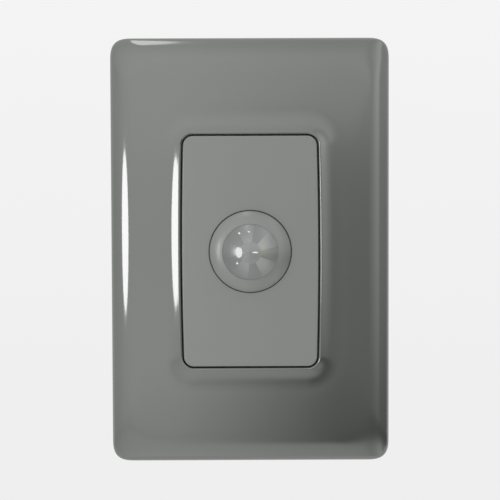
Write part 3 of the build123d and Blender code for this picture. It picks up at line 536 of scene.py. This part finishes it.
def addTongue(x, z):
    # Clip tongue behind the plate, with a bead near its end
    form = tongueForm
    length = plateForm["ceiling"] + form["root"] - form["end"]
    bpy.ops.object.select_all(action="DESELECT")
    bpy.ops.mesh.primitive_cube_add(size=1)
    tongue = bpy.context.object
    tongue.scale = (form["width"] * mm, length * mm, form["thick"] * mm)
    tongue.location = (x * mm, -(form["end"] + length / 2) * mm, z * mm)
    bpy.ops.object.transform_apply(location=True, rotation=True, scale=True)
    startEdit(tongue)
    beadAt = -(form["end"] + form["beadHeight"]) * mm
    for offset in form["beadCuts"]:
        bpy.ops.mesh.select_all(action="SELECT")
        bpy.ops.mesh.bisect(plane_co=(0, beadAt - offset * mm, 0), plane_no=(0, 1, 0))
    bpy.ops.object.mode_set(mode="OBJECT")
    slack = form["slack"] * mm
    for vertex in tongue.data.vertices:
        if beadAt - slack < vertex.co.y < -form["end"] * mm - slack:
            vertex.co.z += math.copysign(form["bead"] * mm, vertex.co.z - z * mm)
    bevel = tongue.modifiers.new("bevel", "BEVEL")
    bevel.width, bevel.segments, bevel.limit_method = form["edge"] * mm, 2, "ANGLE"
    choose(tongue)
    bpy.ops.object.modifier_apply(modifier="bevel")
    return tongue


def makeWallPlate():
    rows = plateOutlines()
    rings = [addOutline(number, *row) for number, row in enumerate(rows)]
    plate = bridgeOutlines(rings, "wallPlate")
    plate.data.attributes.remove(plate.data.attributes["outline"])
    places = [(sx * tongueForm["x"], sz * tongueForm["z"]) for sx in (-1, 1) for sz in (-1, 1)]
    tongues = [addTongue(x, z) for x, z in places]
    choose(plate, *tongues)
    bpy.ops.object.join()
    smooth(plate, plateForm["smoothAngle"])
    return plate


plateLook = {
    "colour": (0.073, 0.0815, 0.073),
    "roughness": 0.075,
    "ior": 1.75,
    "specular": 1.0,
    "grain": {
        "Grain Scale": 900, "Flow Scale": 28, "Flow Amount": 0.05,
        "Roughness Change": 0.03, "Bump Strength": 0.03, "Bump Distance": 0.00001,
    },
}
plateGrey = plasticMaterial("plateGrey", plateLook)
wallPlate = makeWallPlate()
dress(wallPlate, "plate", plateGrey, "plate_plastic", "wall_plate")
print("wall plate modelled,", len(wallPlate.data.polygons), "faces")


# Sensor head: collar and lens
headForm = {  # mm
    "face": 9.05,  # level of the insert's face
    "collarRadius": 11.475,
    "collarEdge": 0.6,
    "collarRise": 2.0,
    "collarBulge": 0.36,
    "collarArcSteps": 16,
    "shoulder": (0.04, 0.05),  # how far the collar's shoulder stands in and down
    "rimEdge": (0.05, 0.13),  # how far the crest ends out from the rim and under the top
    "rimDrop": 0.17,
    "collarStep": 9.51,
    "skirt": 10.175,
    "collarBack": 7.15,
    "rim": 7.86,
    "lensRadius": 7.85,
    "flangeRadius": 9.6,
    "flangeBack": 8.65,
    "flangeFront": 9.45,
    "domeBase": 11.45,
    "domeRise": 3.2,
    "domeSteps": 30,
    "lensWall": 0.9,
    "foot": 0.2,
    "smallEdge": 0.1,
    "steps": 128,
    "smoothAngle": 35,  # degrees
}


def arcPoints(start, end, bulge, count):
    # Points of an arc from start to end that swells to the right of that line by bulge
    start, end = Vector(start), Vector(end)
    chord = end - start
    half = chord.length / 2
    radius = (half**2 + bulge**2) / (2 * bulge)
    side = Vector((chord.y, -chord.x)).normalized()
    centre = (start + end) / 2 - side * (radius - bulge)
    first = start - centre
    spread = 2 * math.asin(half / radius)
    points = []
    for step in range(1, count):
        angle = spread * step / count
        points.append((
            centre.x + first.x * math.cos(angle) - first.y * math.sin(angle),
            centre.y + first.x * math.sin(angle) + first.y * math.cos(angle),
        ))
    return points


def spinProfile(name, points, steps, closed=True):
    # Extrudes one vertex along the profile's points, then spins it round the head's axis
    bpy.ops.object.select_all(action="DESELECT")
    bpy.ops.mesh.primitive_plane_add(size=mm)
    piece = bpy.context.object
    piece.name = piece.data.name = name
    bpy.ops.object.mode_set(mode="EDIT")
    bpy.ops.mesh.select_mode(type="VERT")
    bpy.ops.mesh.select_all(action="SELECT")
    bpy.ops.mesh.merge(type="CENTER")
    here = (0.0, 0.0)
    for number, (radius, level) in enumerate(points):
        step = ((radius - here[0]) * mm, -(level - here[1]) * mm, 0)
        if number:
            bpy.ops.mesh.extrude_vertices_move(TRANSFORM_OT_translate={"value": step})
        else:
            bpy.ops.transform.translate(value=step)
        here = (radius, level)
    bpy.ops.mesh.select_all(action="SELECT")
    if closed:
        mesh = bmesh.from_edit_mesh(piece.data)
        mesh.verts.ensure_lookup_table()
        ends = [vertex for vertex in mesh.verts if len(vertex.link_edges) == 1]
        bpy.ops.mesh.select_all(action="DESELECT")
        for vertex in ends:
            vertex.select_set(True)
        bmesh.update_edit_mesh(piece.data)
        bpy.ops.mesh.edge_face_add()
        bpy.ops.mesh.select_all(action="SELECT")
    bpy.ops.mesh.spin(steps=steps, angle=2 * math.pi, center=(0, 0, 0), axis=(0, 1, 0))
    bpy.ops.object.mode_set(mode="OBJECT")
    closeUp(piece)
    return piece


def makeCollar():
    form = headForm
    small = form["smallEdge"]
    edge = form["face"] + form["collarEdge"]
    rimTop = edge + form["collarRise"]
    inwards, down = form["shoulder"]
    outwards, under = form["rimEdge"]
    crest = (form["rim"] + outwards, rimTop - under)
    points = [
        (form["rim"], form["collarStep"]),
        (form["skirt"], form["collarStep"]),
        (form["skirt"], form["collarBack"]),
        (form["collarRadius"] - small, form["collarBack"]),
        (form["collarRadius"], form["collarBack"] + small),
        (form["collarRadius"], edge - down),
        (form["collarRadius"] - inwards, edge),
    ]
    points += arcPoints(points[-1], crest, form["collarBulge"], form["collarArcSteps"])
    points += [crest, (form["rim"], rimTop - form["rimDrop"])]
    collar = spinProfile("lensCollar", points, form["steps"])
    smooth(collar, form["smoothAngle"])
    return collar


def domeLevel(grow, at):
    # Level of the dome's ball, grown by a wall, at a distance from the axis
    form = headForm
    ball = (form["lensRadius"] ** 2 + form["domeRise"] ** 2) / (2 * form["domeRise"])
    return form["domeBase"] + form["domeRise"] - ball + math.sqrt((ball + grow) ** 2 - at**2)


def makeLens():
    form = headForm
    small, foot, count = form["smallEdge"], form["foot"], form["domeSteps"]
    outer = form["lensRadius"]
    bore = outer - form["lensWall"]
    points = [(outer * step / count, domeLevel(0, outer * step / count)) for step in range(count + 1)]
    points += [
        (outer, form["flangeFront"] + foot),
        (outer + foot, form["flangeFront"]),
        (form["flangeRadius"] - small, form["flangeFront"]),
        (form["flangeRadius"], form["flangeFront"] - small),
        (form["flangeRadius"], form["flangeBack"] + small),
        (form["flangeRadius"] - small, form["flangeBack"]),
        (bore, form["flangeBack"]),
    ]
    for step in range(count, -1, -1):
        points.append((bore * step / count, domeLevel(-form["lensWall"], bore * step / count)))
    lens = spinProfile("fresnelLens", points, form["steps"], closed=False)
    smooth(lens, form["smoothAngle"])
    return lens


collarLook = {
    "colour": (0.203, 0.211, 0.199),
    "roughness": 0.32,
    "specular": 1.0,
    "grain": {
        "Grain Scale": 1500, "Flow Scale": 120, "Flow Amount": 0.05,
        "Roughness Change": 0.05, "Bump Strength": 0.04, "Bump Distance": 0.00001,
    },
}
lensCollar = makeCollar()
dress(lensCollar, "switch", plasticMaterial("collarGrey", collarLook), "collar_plastic", "lens_collar")
print("collar modelled,", len(lensCollar.data.polygons), "faces")


def facetGroup():
    # Mask of one small flat facet on the lens, round or stretched
    group, start, end = newGroup(
        "lensFacet",
        [
            ("Vector", "NodeSocketVector", None),
            ("Centre", "NodeSocketVector", (0, 0, 0)),
            ("Stretch", "NodeSocketVector", (1, 0, 1)),
            ("Radius", "NodeSocketFloat", 0.0006),
        ],
        [("Mask", "NodeSocketFloat")],
    )
    away = addNode(group, "ShaderNodeVectorMath", (-600, 0), operation="SUBTRACT")
    flat = addNode(group, "ShaderNodeVectorMath", (-400, 0), operation="MULTIPLY")
    length = addNode(group, "ShaderNodeVectorMath", (-200, 0), operation="LENGTH")
    share = addMath(group, (0, 0), "DIVIDE")
    fall = addRange(group, (200, 0), lensLook["facetSoft"], (1, 0), True)
    link(
        group,
        (start, "Vector", away, 0),
        (start, "Centre", away, 1),
        (away, 0, flat, 0),
        (start, "Stretch", flat, 1),
        (flat, 0, length, 0),
        (length, "Value", share, 0),
        (start, "Radius", share, 1),
        (share, 0, fall, "Value"),
        (fall, "Result", end, "Mask"),
    )
    return group


lensLook = {  # angles in degrees, lengths in m
    "petals": 10,
    "firstPetal": 30,
    "wholeTurns": 720,  # keeps the measured angle above 0
    "petalHalf": 19.8,
    "petalSoft": 1,
    "petalEnd": 0.0073,
    "petalRest": 0.12,  # strength of a petal at its end; the painted reflection of the lighter petals fades towards the rim
    "petalStep": 0.00004,
    "hub": 0.00305,
    "hubSoft": 0.00012,
    "hubShare": 0.4,
    "groove": 0.00042,
    "grooveDepth": 0.000006,
    # dark and light petal colours: painted shade and painted reflection on segments of one milky
    # plastic
    "dark": (0.185, 0.195, 0.195, 1),
    "light": (0.32, 0.33, 0.313, 1),
    "olive": (0.267, 0.273, 0.211, 1),
    "oliveAngle": (0.22, 0.3),  # radians
    "oliveShare": 0.6,
    "paintedLightPetalFade": ((-0.005, 0.002), (0.35, 1)),  # sideways place and strength of the petals: painted light, the petals fade towards the lit left side
    "paintedSideShade": ((-0.006, 0.005), (0.74, 1.1)),  # sideways place and value: painted shade, darker on the lit left and lighter on the right
    "paintedRimLight": ((0.0066, 0.0078), (1, 1.03)),  # distance from the middle and value: painted light, slightly lighter towards the lens's rim
    "cloudScale": 420,
    "cloudShade": (0.82, 1.15),
    "ior": 1.58,
    "specular": 1,
    "roughness": 0.28,
    "facetRoughness": 0.06,
    "facetSoft": (0.55, 0.95),  # shares of a spot's radius over which it fades
    "facetNormal": (-0.343, -0.939, 0.018),
    "facets": [  # place, stretch and radius of the flat spots
        ((-0.0032, 0, 0.0001), (1.6, 0, 1.0), 0.002),
        ((-0.0031, 0, 0.0054), (1, 0, 1), 0.00045),
        ((-0.0004, 0, 0.0058), (0.7, 0, 1.6), 0.00042),
        ((-0.0037, 0, -0.0030), (1, 0, 1), 0.00047),
        ((0.0014, 0, 0.0001), (0.55, 0, 2.2), 0.00068),
    ],
}


def lensMaterial():
    # Milky lens: a hub and ten petals, every second one lighter, with fine grooves. The lighter petals
    # are painted reflection and the darker ones painted shade, on segments of one milky plastic.
    look = lensLook
    material, tree, shader, coords = newMaterial("lensGrey", look["light"][:3])
    split = addNode(tree, "ShaderNodeSeparateXYZ", (-1400, 0))
    angle = addMath(tree, (-1200, 200), "ARCTAN2")
    first = math.radians(look["firstPetal"] - look["wholeTurns"])
    turned = addMath(tree, (-1000, 200), "SUBTRACT", first)
    pitch = math.radians(360 / look["petals"])
    fold = addMath(tree, (-800, 200), "PINGPONG", pitch)
    border = [math.radians(look["petalHalf"] + way * look["petalSoft"]) for way in (-1, 1)]
    petal = addRange(tree, (-600, 200), border, (1, 0), True)
    flat = addNode(tree, "ShaderNodeCombineXYZ", (-1200, -100))
    radius = addNode(tree, "ShaderNodeVectorMath", (-1000, -100), operation="LENGTH")
    fade = addRange(tree, (-800, -50), (look["hub"], look["petalEnd"]), (1, look["petalRest"]))
    rim = [look["hub"] + way * look["hubSoft"] for way in (-1, 1)]
    outside = addRange(tree, (-800, -300), rim, (0, 1), True)
    petalTone = addMath(tree, (-400, 150), "MULTIPLY")
    # painted light: petal contrast fades towards the lit left side
    side = addRange(tree, (-1000, 650), *look["paintedLightPetalFade"])
    petalToneFadedByPaintedLight = addMath(tree, (-300, 300), "MULTIPLY")
    # painted light: the lens's tone rises slightly towards its rim, where it meets the collar
    edge = addRange(tree, (-600, 650), *look["paintedRimLight"], True)
    # painted shade: the lens's colour is darker on the left and lighter on the right
    across = addRange(tree, (-600, 1050), *look["paintedSideShade"])
    shade = addMath(tree, (400, 650), "MULTIPLY")
    near = addMath(tree, (-1000, 850), "ABSOLUTE")
    olive = addRange(tree, (-800, 850), look["oliveAngle"], (look["oliveShare"], 0))
    oliveOut = addMath(tree, (-400, 850), "MULTIPLY")
    oliveFade = addMath(tree, (-200, 850), "MULTIPLY")
    tinted = addNode(tree, "ShaderNodeMix", (400, 300), data_type="RGBA")
    tinted.inputs["B"].default_value = look["olive"]
    shaded = addNode(tree, "ShaderNodeHueSaturation", (600, 300))
    tone = addNode(tree, "ShaderNodeMix", (-200, 50), {"A": look["hubShare"]}, data_type="FLOAT")
    cloud = addNode(
        tree, "ShaderNodeTexNoise", (-800, 450), {"Scale": look["cloudScale"], "Detail": 4}
    )
    uneven = addRange(tree, (-600, 450), (0, 1), look["cloudShade"])
    spread = addMath(tree, (0, 150), "MULTIPLY", clamp=True)
    colour = addNode(tree, "ShaderNodeMix", (200, 100), data_type="RGBA")
    colour.inputs["A"].default_value = look["dark"]
    colour.inputs["B"].default_value = look["light"]
    groove = addMath(tree, (-800, -550), "DIVIDE", look["groove"])
    tooth = addMath(tree, (-600, -550), "FRACT")
    toothHeight = addMath(tree, (-400, -550), "MULTIPLY", look["grooveDepth"])
    petalStep = addMath(tree, (-400, -350), "MULTIPLY", look["petalStep"])
    height = addMath(tree, (-200, -450), "ADD")
    link(
        tree,
        (coords, "Object", split, 0),
        (split, "Z", angle, 0),
        (split, "X", angle, 1),
        (angle, 0, turned, 0),
        (turned, 0, fold, 0),
        (fold, 0, petal, "Value"),
        (split, "X", flat, "X"),
        (split, "Z", flat, "Z"),
        (flat, 0, radius, 0),
        (radius, "Value", fade, "Value"),
        (radius, "Value", outside, "Value"),
        (petal, "Result", petalTone, 0),
        (fade, "Result", petalTone, 1),
        (outside, "Result", tone, "Factor"),
        (split, "X", side, "Value"),
        (petalTone, 0, petalToneFadedByPaintedLight, 0),
        (side, "Result", petalToneFadedByPaintedLight, 1),
        (petalToneFadedByPaintedLight, 0, tone, "B"),
        (radius, "Value", edge, "Value"),
        (angle, 0, near, 0),
        (near, 0, olive, "Value"),
        (olive, "Result", oliveOut, 0),
        (outside, "Result", oliveOut, 1),
        (coords, "Object", cloud, "Vector"),
        (cloud, "Fac", uneven, "Value"),
        (tone, "Result", spread, 0),
        (uneven, "Result", spread, 1),
        (spread, 0, colour, "Factor"),
        (colour, "Result", tinted, "A"),
        (oliveOut, 0, oliveFade, 0),
        (fade, "Result", oliveFade, 1),
        (oliveFade, 0, tinted, "Factor"),
        (tinted, "Result", shaded, "Color"),
        (split, "X", across, "Value"),
        (across, "Result", shade, 0),
        (edge, "Result", shade, 1),
        (shade, 0, shaded, "Value"),
        (shaded, "Color", shader, "Base Color"),
        (radius, "Value", groove, 0),
        (groove, 0, tooth, 0),
        (tooth, 0, toothHeight, 0),
        (petal, "Result", petalStep, 0),
        (toothHeight, 0, height, 0),
        (petalStep, 0, height, 1),
    )
    bump = addNode(tree, "ShaderNodeBump", (0, -450), {"Strength": 1, "Distance": 1})
    link(tree, (height, 0, bump, "Height"))
    normal, polish = (bump, "Normal"), None
    for number, (centre, stretch, size) in enumerate(look["facets"]):
        spot = addNode(tree, "ShaderNodeGroup", (0, -700 - 200 * number), node_tree=lensFacet)
        spot.inputs["Centre"].default_value = centre
        spot.inputs["Stretch"].default_value = stretch
        spot.inputs["Radius"].default_value = size
        flatten = addNode(
            tree, "ShaderNodeMix", (200 + 150 * number, -500 - 100 * number),
            {"B": look["facetNormal"]}, data_type="VECTOR",
        )
        link(
            tree,
            (coords, "Object", spot, "Vector"),
            (spot, "Mask", flatten, "Factor"),
            (*normal, flatten, "A"),
        )
        normal = (flatten, "Result")
        if polish:
            both = addMath(tree, (200, -700 - 200 * number), "MAXIMUM")
            link(tree, (*polish, both, 0), (spot, "Mask", both, 1))
            polish = (both, 0)
        else:
            polish = (spot, "Mask")
    rough = addRange(tree, (500, -700), (0, 1), (look["roughness"], look["facetRoughness"]))
    link(tree, (*polish, rough, "Value"), (rough, "Result", shader, "Roughness"))
    shader.inputs["IOR"].default_value = look["ior"]
    shader.inputs["Specular IOR Level"].default_value = look["specular"]
    link(tree, (*normal, shader, "Normal"))
    return material


lensFacet = facetGroup()
lensGrey = lensMaterial()
fresnelLens = makeLens()
dress(fresnelLens, "switch", lensGrey, "lens_plastic", "fresnel_lens")
print("sensor head modelled")


# Finishes of the CAD pieces, each with the nodes that wear it
plastics = {
    "insertGrey": {
        "colour": (0.194, 0.203, 0.19), "roughness": 0.42, "ior": 1.48, "specular": 1.0, "coat": 0.3,
        "grain": {
            "Grain Scale": 5200, "Flow Scale": 34, "Flow Amount": 0.05,
            "Roughness Change": 0.06, "Bump Strength": 0.12, "Bump Distance": 0.00002,
        },
        "nodes": ["front_cover"],
    },
    "frameGrey": {
        "colour": (0.2, 0.2, 0.21), "roughness": 0.45,
        "grain": {
            "Grain Scale": 3500, "Flow Scale": 50, "Flow Amount": 0.2,
            "Roughness Change": 0.15, "Bump Strength": 0.15, "Bump Distance": 0.00003,
        },
        "nodes": ["mounting_frame"],
    },
    "chassisGrey": {
        "colour": (0.26, 0.26, 0.27), "roughness": 0.42,
        "grain": {
            "Grain Scale": 4200, "Flow Scale": 60, "Flow Amount": 0.2,
            "Roughness Change": 0.15, "Bump Strength": 0.15, "Bump Distance": 0.00003,
        },
        "nodes": ["front_chassis"],
    },
    "housingGrey": {
        "colour": (0.2, 0.2, 0.21), "roughness": 0.5,
        "grain": {
            "Grain Scale": 2600, "Flow Scale": 45, "Flow Amount": 0.22,
            "Roughness Change": 0.2, "Bump Strength": 0.2, "Bump Distance": 0.00004,
        },
        "nodes": ["rear_housing"],
    },
    "blackPlastic": {
        "colour": (0.012, 0.012, 0.013), "roughness": 0.4,
        "grain": {"Flow Amount": 0.5, "Roughness Change": 0.2, "Bump Distance": 0.00003},
        "nodes": [
            "pir_seat", "time_trimmer_body", "lux_trimmer_body", "header_blocks", "relay_base",
            "control_chip", "sensor_board_chips", "rectifier_diodes", "driver_transistor",
        ],
    },
    "rotorCream": {
        "colour": (0.62, 0.58, 0.46), "roughness": 0.45,
        "grain": {
            "Flow Scale": 300, "Flow Amount": 0.15,
            "Roughness Change": 0.15, "Bump Distance": 0.00003,
        },
        "nodes": ["time_trimmer_rotor", "lux_trimmer_rotor", "relay_bobbin"],
    },
    "relayBlue": {
        "colour": (0.01, 0.03, 0.12), "roughness": 0.2, "grain": {"Flow Amount": 0.2},
        "nodes": ["relay_case", "varistor"],
    },
    "filmRed": {
        "colour": (0.25, 0.02, 0.01), "roughness": 0.3, "grain": {"Flow Amount": 0.2},
        "nodes": ["dropper_capacitor"],
    },
    "sleeveNavy": {
        "colour": (0.01, 0.012, 0.03), "roughness": 0.25, "grain": {"Flow Amount": 0.3},
        "nodes": ["signal_capacitors", "smoothing_capacitor"],
    },
    "resistorGreen": {
        "colour": (0.10, 0.2, 0.17), "roughness": 0.5, "grain": {"Flow Amount": 0.3},
        "nodes": ["fuse_resistor"],
    },
    "boardGreen": {
        "colour": (0.015, 0.09, 0.035), "roughness": 0.3,
        "grain": {
            "Grain Scale": 1200, "Flow Scale": 500, "Flow Amount": 0.5,
            "Roughness Change": 0.3, "Bump Strength": 0.2,
        },
        "nodes": ["sensor_board", "power_board"],
    },
}
metals = {
    "screwSteel": {
        "colour": (0.55, 0.56, 0.57), "stain": (0.42, 0.41, 0.38), "roughness": 0.28,
        "nodes": [
            "box_screws", "board_screws", "power_board_screws",
            "terminal_screw_1", "terminal_screw_2", "terminal_screw_3",
            "terminal_clamp_1", "terminal_clamp_2", "terminal_clamp_3",
        ],
    },
    "tinned": {
        "colour": (0.62, 0.62, 0.6), "stain": (0.5, 0.5, 0.48), "roughness": 0.3,
        "nodes": ["pir_sensor", "pir_leads", "header_pins", "relay_coil_pins"],
    },
    "softIron": {
        "colour": (0.38, 0.38, 0.37), "stain": (0.26, 0.24, 0.21), "roughness": 0.4,
        "nodes": ["relay_core", "relay_yoke", "relay_armature"],
    },
    "brass": {
        "colour": (0.66, 0.45, 0.16), "stain": (0.4, 0.25, 0.1), "roughness": 0.28,
        "nodes": ["terminal_cages", "relay_moving_contact", "relay_fixed_contact"],
    },
    "copperWire": {
        "colour": (0.55, 0.22, 0.1), "stain": (0.35, 0.13, 0.06), "roughness": 0.3,
        "stretch": (200, 9000, 200),
        "nodes": ["relay_coil"],
    },
}
resins = {
    "clearResin": {"colour": (0.9, 0.9, 0.92), "roughness": 0.05, "nodes": ["light_sensor"]},
    "redResin": {"colour": (0.7, 0.03, 0.02), "roughness": 0.1, "nodes": ["indicator_led"]},
    "filterDark": {"colour": (0.05, 0.03, 0.05), "roughness": 0.08, "nodes": ["pir_window"]},
}
resinLook = {"ior": 1.5, "transmission": 0.8, "cloudScale": 500, "cloudTint": 0.85}


def resinMaterial(name, look):
    material, tree, shader, coords = newMaterial(name, look["colour"])
    cloud = addNode(
        tree, "ShaderNodeTexNoise", (-700, 0), {"Scale": resinLook["cloudScale"], "Detail": 3}
    )
    tint = addNode(tree, "ShaderNodeMix", (-400, 0), data_type="RGBA")
    tint.inputs["A"].default_value = (*look["colour"], 1)
    tint.inputs["B"].default_value = (*[c * resinLook["cloudTint"] for c in look["colour"]], 1)
    shader.inputs["Roughness"].default_value = look["roughness"]
    shader.inputs["IOR"].default_value = resinLook["ior"]
    shader.inputs["Transmission Weight"].default_value = resinLook["transmission"]
    link(
        tree,
        (coords, "Object", cloud, "Vector"),
        (cloud, "Fac", tint, "Factor"),
        (tint, "Result", shader, "Base Color"),
    )
    return material


def paint(finishes, makeMaterial):
    for name, look in finishes.items():
        material = makeMaterial(name, look)
        for node in look["nodes"]:
            nodes[node].data.materials.clear()
            nodes[node].data.materials.append(material)


paint(plastics, plasticMaterial)
paint(metals, metalMaterial)
paint(resins, resinMaterial)
print("materials painted")


# Backdrop and room
backdropForm = {  # m
    "back": 0.75,
    "floor": -1.4,
    "width": 6.0,
    "depth": 1.0,
    "tall": 5.0,
    "round": 0.5,
    "roundSteps": 16,
    "slack": 0.01,
}
backdropLook = {
    "colour": (0.88, 0.88, 0.88),
    "heights": (-0.14, 0.1),  # m, where the two tones are
    "tones": (0.862, 0.905),
    "patchScale": 3,
    "patches": (0.995, 1.005),
    "roughness": 0.8,
    "specular": 0.1,
}


def makeBackdrop():
    form = backdropForm
    bpy.ops.object.select_all(action="DESELECT")
    bpy.ops.mesh.primitive_plane_add(size=1)
    floor = bpy.context.object
    floor.name = "backdrop"
    floor.scale = (form["width"], form["depth"], 1)
    floor.location = (0, form["back"] - form["depth"] / 2, form["floor"])
    bpy.ops.object.transform_apply(location=True, rotation=True, scale=True)
    startEdit(floor, "EDGE")
    behind, low = form["back"] - form["slack"], form["floor"] + form["slack"]
    selectEdges(floor, lambda edge: all(v.co.y > behind for v in edge.verts))
    bpy.ops.mesh.extrude_edges_move(TRANSFORM_OT_translate={"value": (0, 0, form["tall"])})
    selectEdges(floor, lambda edge: all(v.co.y > behind and v.co.z < low for v in edge.verts))
    bpy.ops.mesh.bevel(offset=form["round"], segments=form["roundSteps"], affect="EDGES")
    bpy.ops.object.mode_set(mode="OBJECT")
    bpy.ops.object.shade_smooth()
    return floor


def backdropMaterial():
    # Plain pale tone with a slight change over its height, seen as it is by camera and mirror rays
    look = backdropLook
    material, tree, shader, coords = newMaterial("backdropPale", look["colour"])
    split = addNode(tree, "ShaderNodeSeparateXYZ", (-900, -200))
    ramp = addRange(tree, (-700, -200), look["heights"], look["tones"])
    noise = addNode(
        tree, "ShaderNodeTexNoise", (-700, 100), {"Scale": look["patchScale"], "Detail": 2}
    )
    faint = addRange(tree, (-500, 100), (0, 1), look["patches"])
    tone = addMath(tree, (-300, -50), "MULTIPLY")
    colour = addNode(tree, "ShaderNodeCombineColor", (-100, -50))
    seen = addNode(tree, "ShaderNodeLightPath", (-100, 300))
    camera = addMath(tree, (100, 300), "ADD", clamp=True)
    anyWay = addMath(tree, (250, 300), "ADD", clamp=True)
    glow = addNode(tree, "ShaderNodeEmission", (150, -100), {"Strength": 1})
    mix = addNode(tree, "ShaderNodeMixShader", (450, 0))
    shader.inputs["Roughness"].default_value = look["roughness"]
    shader.inputs["Specular IOR Level"].default_value = look["specular"]
    output = tree.nodes["Material Output"]
    output.location = (700, 0)
    link(
        tree,
        (coords, "Object", split, 0),
        (split, "Z", ramp, "Value"),
        (coords, "Object", noise, "Vector"),
        (noise, "Fac", faint, "Value"),
        (ramp, "Result", tone, 0),
        (faint, "Result", tone, 1),
        (tone, 0, colour, 0),
        (tone, 0, colour, 1),
        (tone, 0, colour, 2),
        (colour, 0, shader, "Base Color"),
        (colour, 0, glow, "Color"),
        (seen, "Is Camera Ray", camera, 0),
        (seen, "Is Glossy Ray", camera, 1),
        (camera, 0, anyWay, 0),
        (seen, "Is Transmission Ray", anyWay, 1),
        (anyWay, 0, mix, "Fac"),
        (shader, 0, mix, 1),
        (glow, 0, mix, 2),
        (mix, 0, output, "Surface"),
    )
    return material


backdrop = makeBackdrop()
backdrop.data.materials.append(backdropMaterial())

surroundings = {  # height or side of a direction, and the strength seen there
    "brightest": 3.0,
    "acrossBrightest": 2.0,
    "level": 0.5,  # of the whole room
    "seen": (0.86, 0.86, 0.86, 1),
    "sides": (-0.04, 0.055),
    "farSide": (0.16, 0.34),
    "left": [
        (-1, 2.15), (-0.5, 1.98), (-0.25, 1.85), (-0.2, 1.7), (-0.15, 1.95), (-0.13, 2.2),
        (-0.1, 2.25), (-0.07, 2.12), (-0.031, 2.22), (-0.018, 2.42), (0.1, 2.6), (0.3, 2.55),
        (1, 2.0),
    ],
    "right": [
        (-1, 1.5), (-0.7, 1.4), (-0.5, 1.22), (-0.4, 0.85), (-0.33, 0.4), (-0.27, 0.1),
        (-0.217, 0.06), (-0.19, 0.07), (-0.164, 0.15), (-0.14, 0.3), (-0.125, 0.47),
        (-0.1, 0.53), (-0.07, 0.6), (-0.045, 0.68), (-0.031, 0.78), (-0.018, 1.08),
        (-0.009, 1.43), (0.004, 1.85), (0.05, 2.1), (0.3, 2.1), (1, 1.6),
    ],
    "farRight": [
        (-1, 1.2), (-0.7, 1.1), (-0.5, 0.9), (-0.4, 0.6), (-0.33, 0.25), (-0.25, 0.04),
        (-0.2, 0.04), (-0.16, 0.12), (-0.14, 0.32), (-0.11, 0.66), (-0.07, 0.94),
        (-0.045, 1.05), (-0.031, 1.13), (-0.018, 1.26), (-0.009, 1.4), (0.004, 1.6),
        (0.05, 1.62), (0.3, 1.6), (1, 1.5),
    ],
    "across": [
        (-1, 0.68), (-0.6, 0.86), (-0.2, 0.96), (0.04, 1.0), (0.3, 1.0), (0.42, 1.25),
        (0.52, 1.55), (0.66, 1.75), (0.73, 1.25), (0.8, 1.0), (1, 0.97),
    ],
}


def directionRamp(tree, name, place, brightest):
    # Colour ramp over -1 to 1 with the strengths of one list of the room
    span = addRange(tree, (place[0] - 200, place[1]), (-1, 1), (0, 1))
    ramp = addNode(tree, "ShaderNodeValToRGB", place)
    steps = surroundings[name]
    while len(ramp.color_ramp.elements) < len(steps):
        ramp.color_ramp.elements.new(1)
    for element, (where, strength) in zip(ramp.color_ramp.elements, steps):
        tone = strength / brightest
        element.position = (where + 1) / 2
        element.color = (tone, tone, tone, 1)
    link(tree, (span, "Result", ramp, "Fac"))
    return span, ramp


def makeWorld():
    # Room seen in the gloss: bright to the left and above, dark to the right and below
    look = surroundings
    world = bpy.data.worlds.new("room")
    bpy.context.scene.world = world
    world.use_nodes = True
    tree = world.node_tree
    background = tree.nodes["Background"]
    coords = addNode(tree, "ShaderNodeTexCoord", (-1300, 0))
    split = addNode(tree, "ShaderNodeSeparateXYZ", (-1100, 0))
    leftSpan, leftRamp = directionRamp(tree, "left", (-700, 300), look["brightest"])
    rightSpan, rightRamp = directionRamp(tree, "right", (-700, 0), look["brightest"])
    farSpan, farRamp = directionRamp(tree, "farRight", (-700, -900), look["brightest"])
    acrossSpan, acrossRamp = directionRamp(tree, "across", (-700, -300), look["acrossBrightest"])
    sides = addRange(tree, (-700, -600), look["sides"], (0, 1), True)
    farSide = addRange(tree, (-700, -1200), look["farSide"], (0, 1), True)
    rightRoom = addNode(tree, "ShaderNodeMix", (-500, -100), data_type="RGBA")
    room = addNode(tree, "ShaderNodeMix", (-350, 100), data_type="RGBA")
    tuned = addNode(tree, "ShaderNodeMix", (-150, 0), data_type="RGBA", blend_type="MULTIPLY")
    tuned.inputs["Factor"].default_value = 1
    lightPath = addNode(tree, "ShaderNodeLightPath", (0, 400))
    pale = addNode(tree, "ShaderNodeBackground", (300, 200), {"Strength": 1})
    pale.inputs["Color"].default_value = look["seen"]
    choice = addNode(tree, "ShaderNodeMixShader", (500, 0))
    output = tree.nodes["World Output"]
    output.location = (700, 0)
    whole = look["brightest"] * look["acrossBrightest"] * look["level"]
    background.inputs["Strength"].default_value = whole
    link(
        tree,
        (coords, "Generated", split, 0),
        (split, "Z", leftSpan, "Value"),
        (split, "Z", rightSpan, "Value"),
        (split, "X", acrossSpan, "Value"),
        (split, "X", sides, "Value"),
        (sides, "Result", room, "Factor"),
        (split, "Z", farSpan, "Value"),
        (split, "X", farSide, "Value"),
        (farSide, "Result", rightRoom, "Factor"),
        (rightRamp, "Color", rightRoom, "A"),
        (farRamp, "Color", rightRoom, "B"),
        (leftRamp, "Color", room, "A"),
        (rightRoom, "Result", room, "B"),
        (room, "Result", tuned, "A"),
        (acrossRamp, "Color", tuned, "B"),
        (tuned, "Result", background, "Color"),
        (lightPath, "Is Camera Ray", choice, "Fac"),
        (background, 0, choice, 1),
        (pale, 0, choice, 2),
        (choice, 0, output, "Surface"),
    )


makeWorld()
bpy.context.scene.view_settings.view_transform = "Standard"
print("backdrop and room ready")
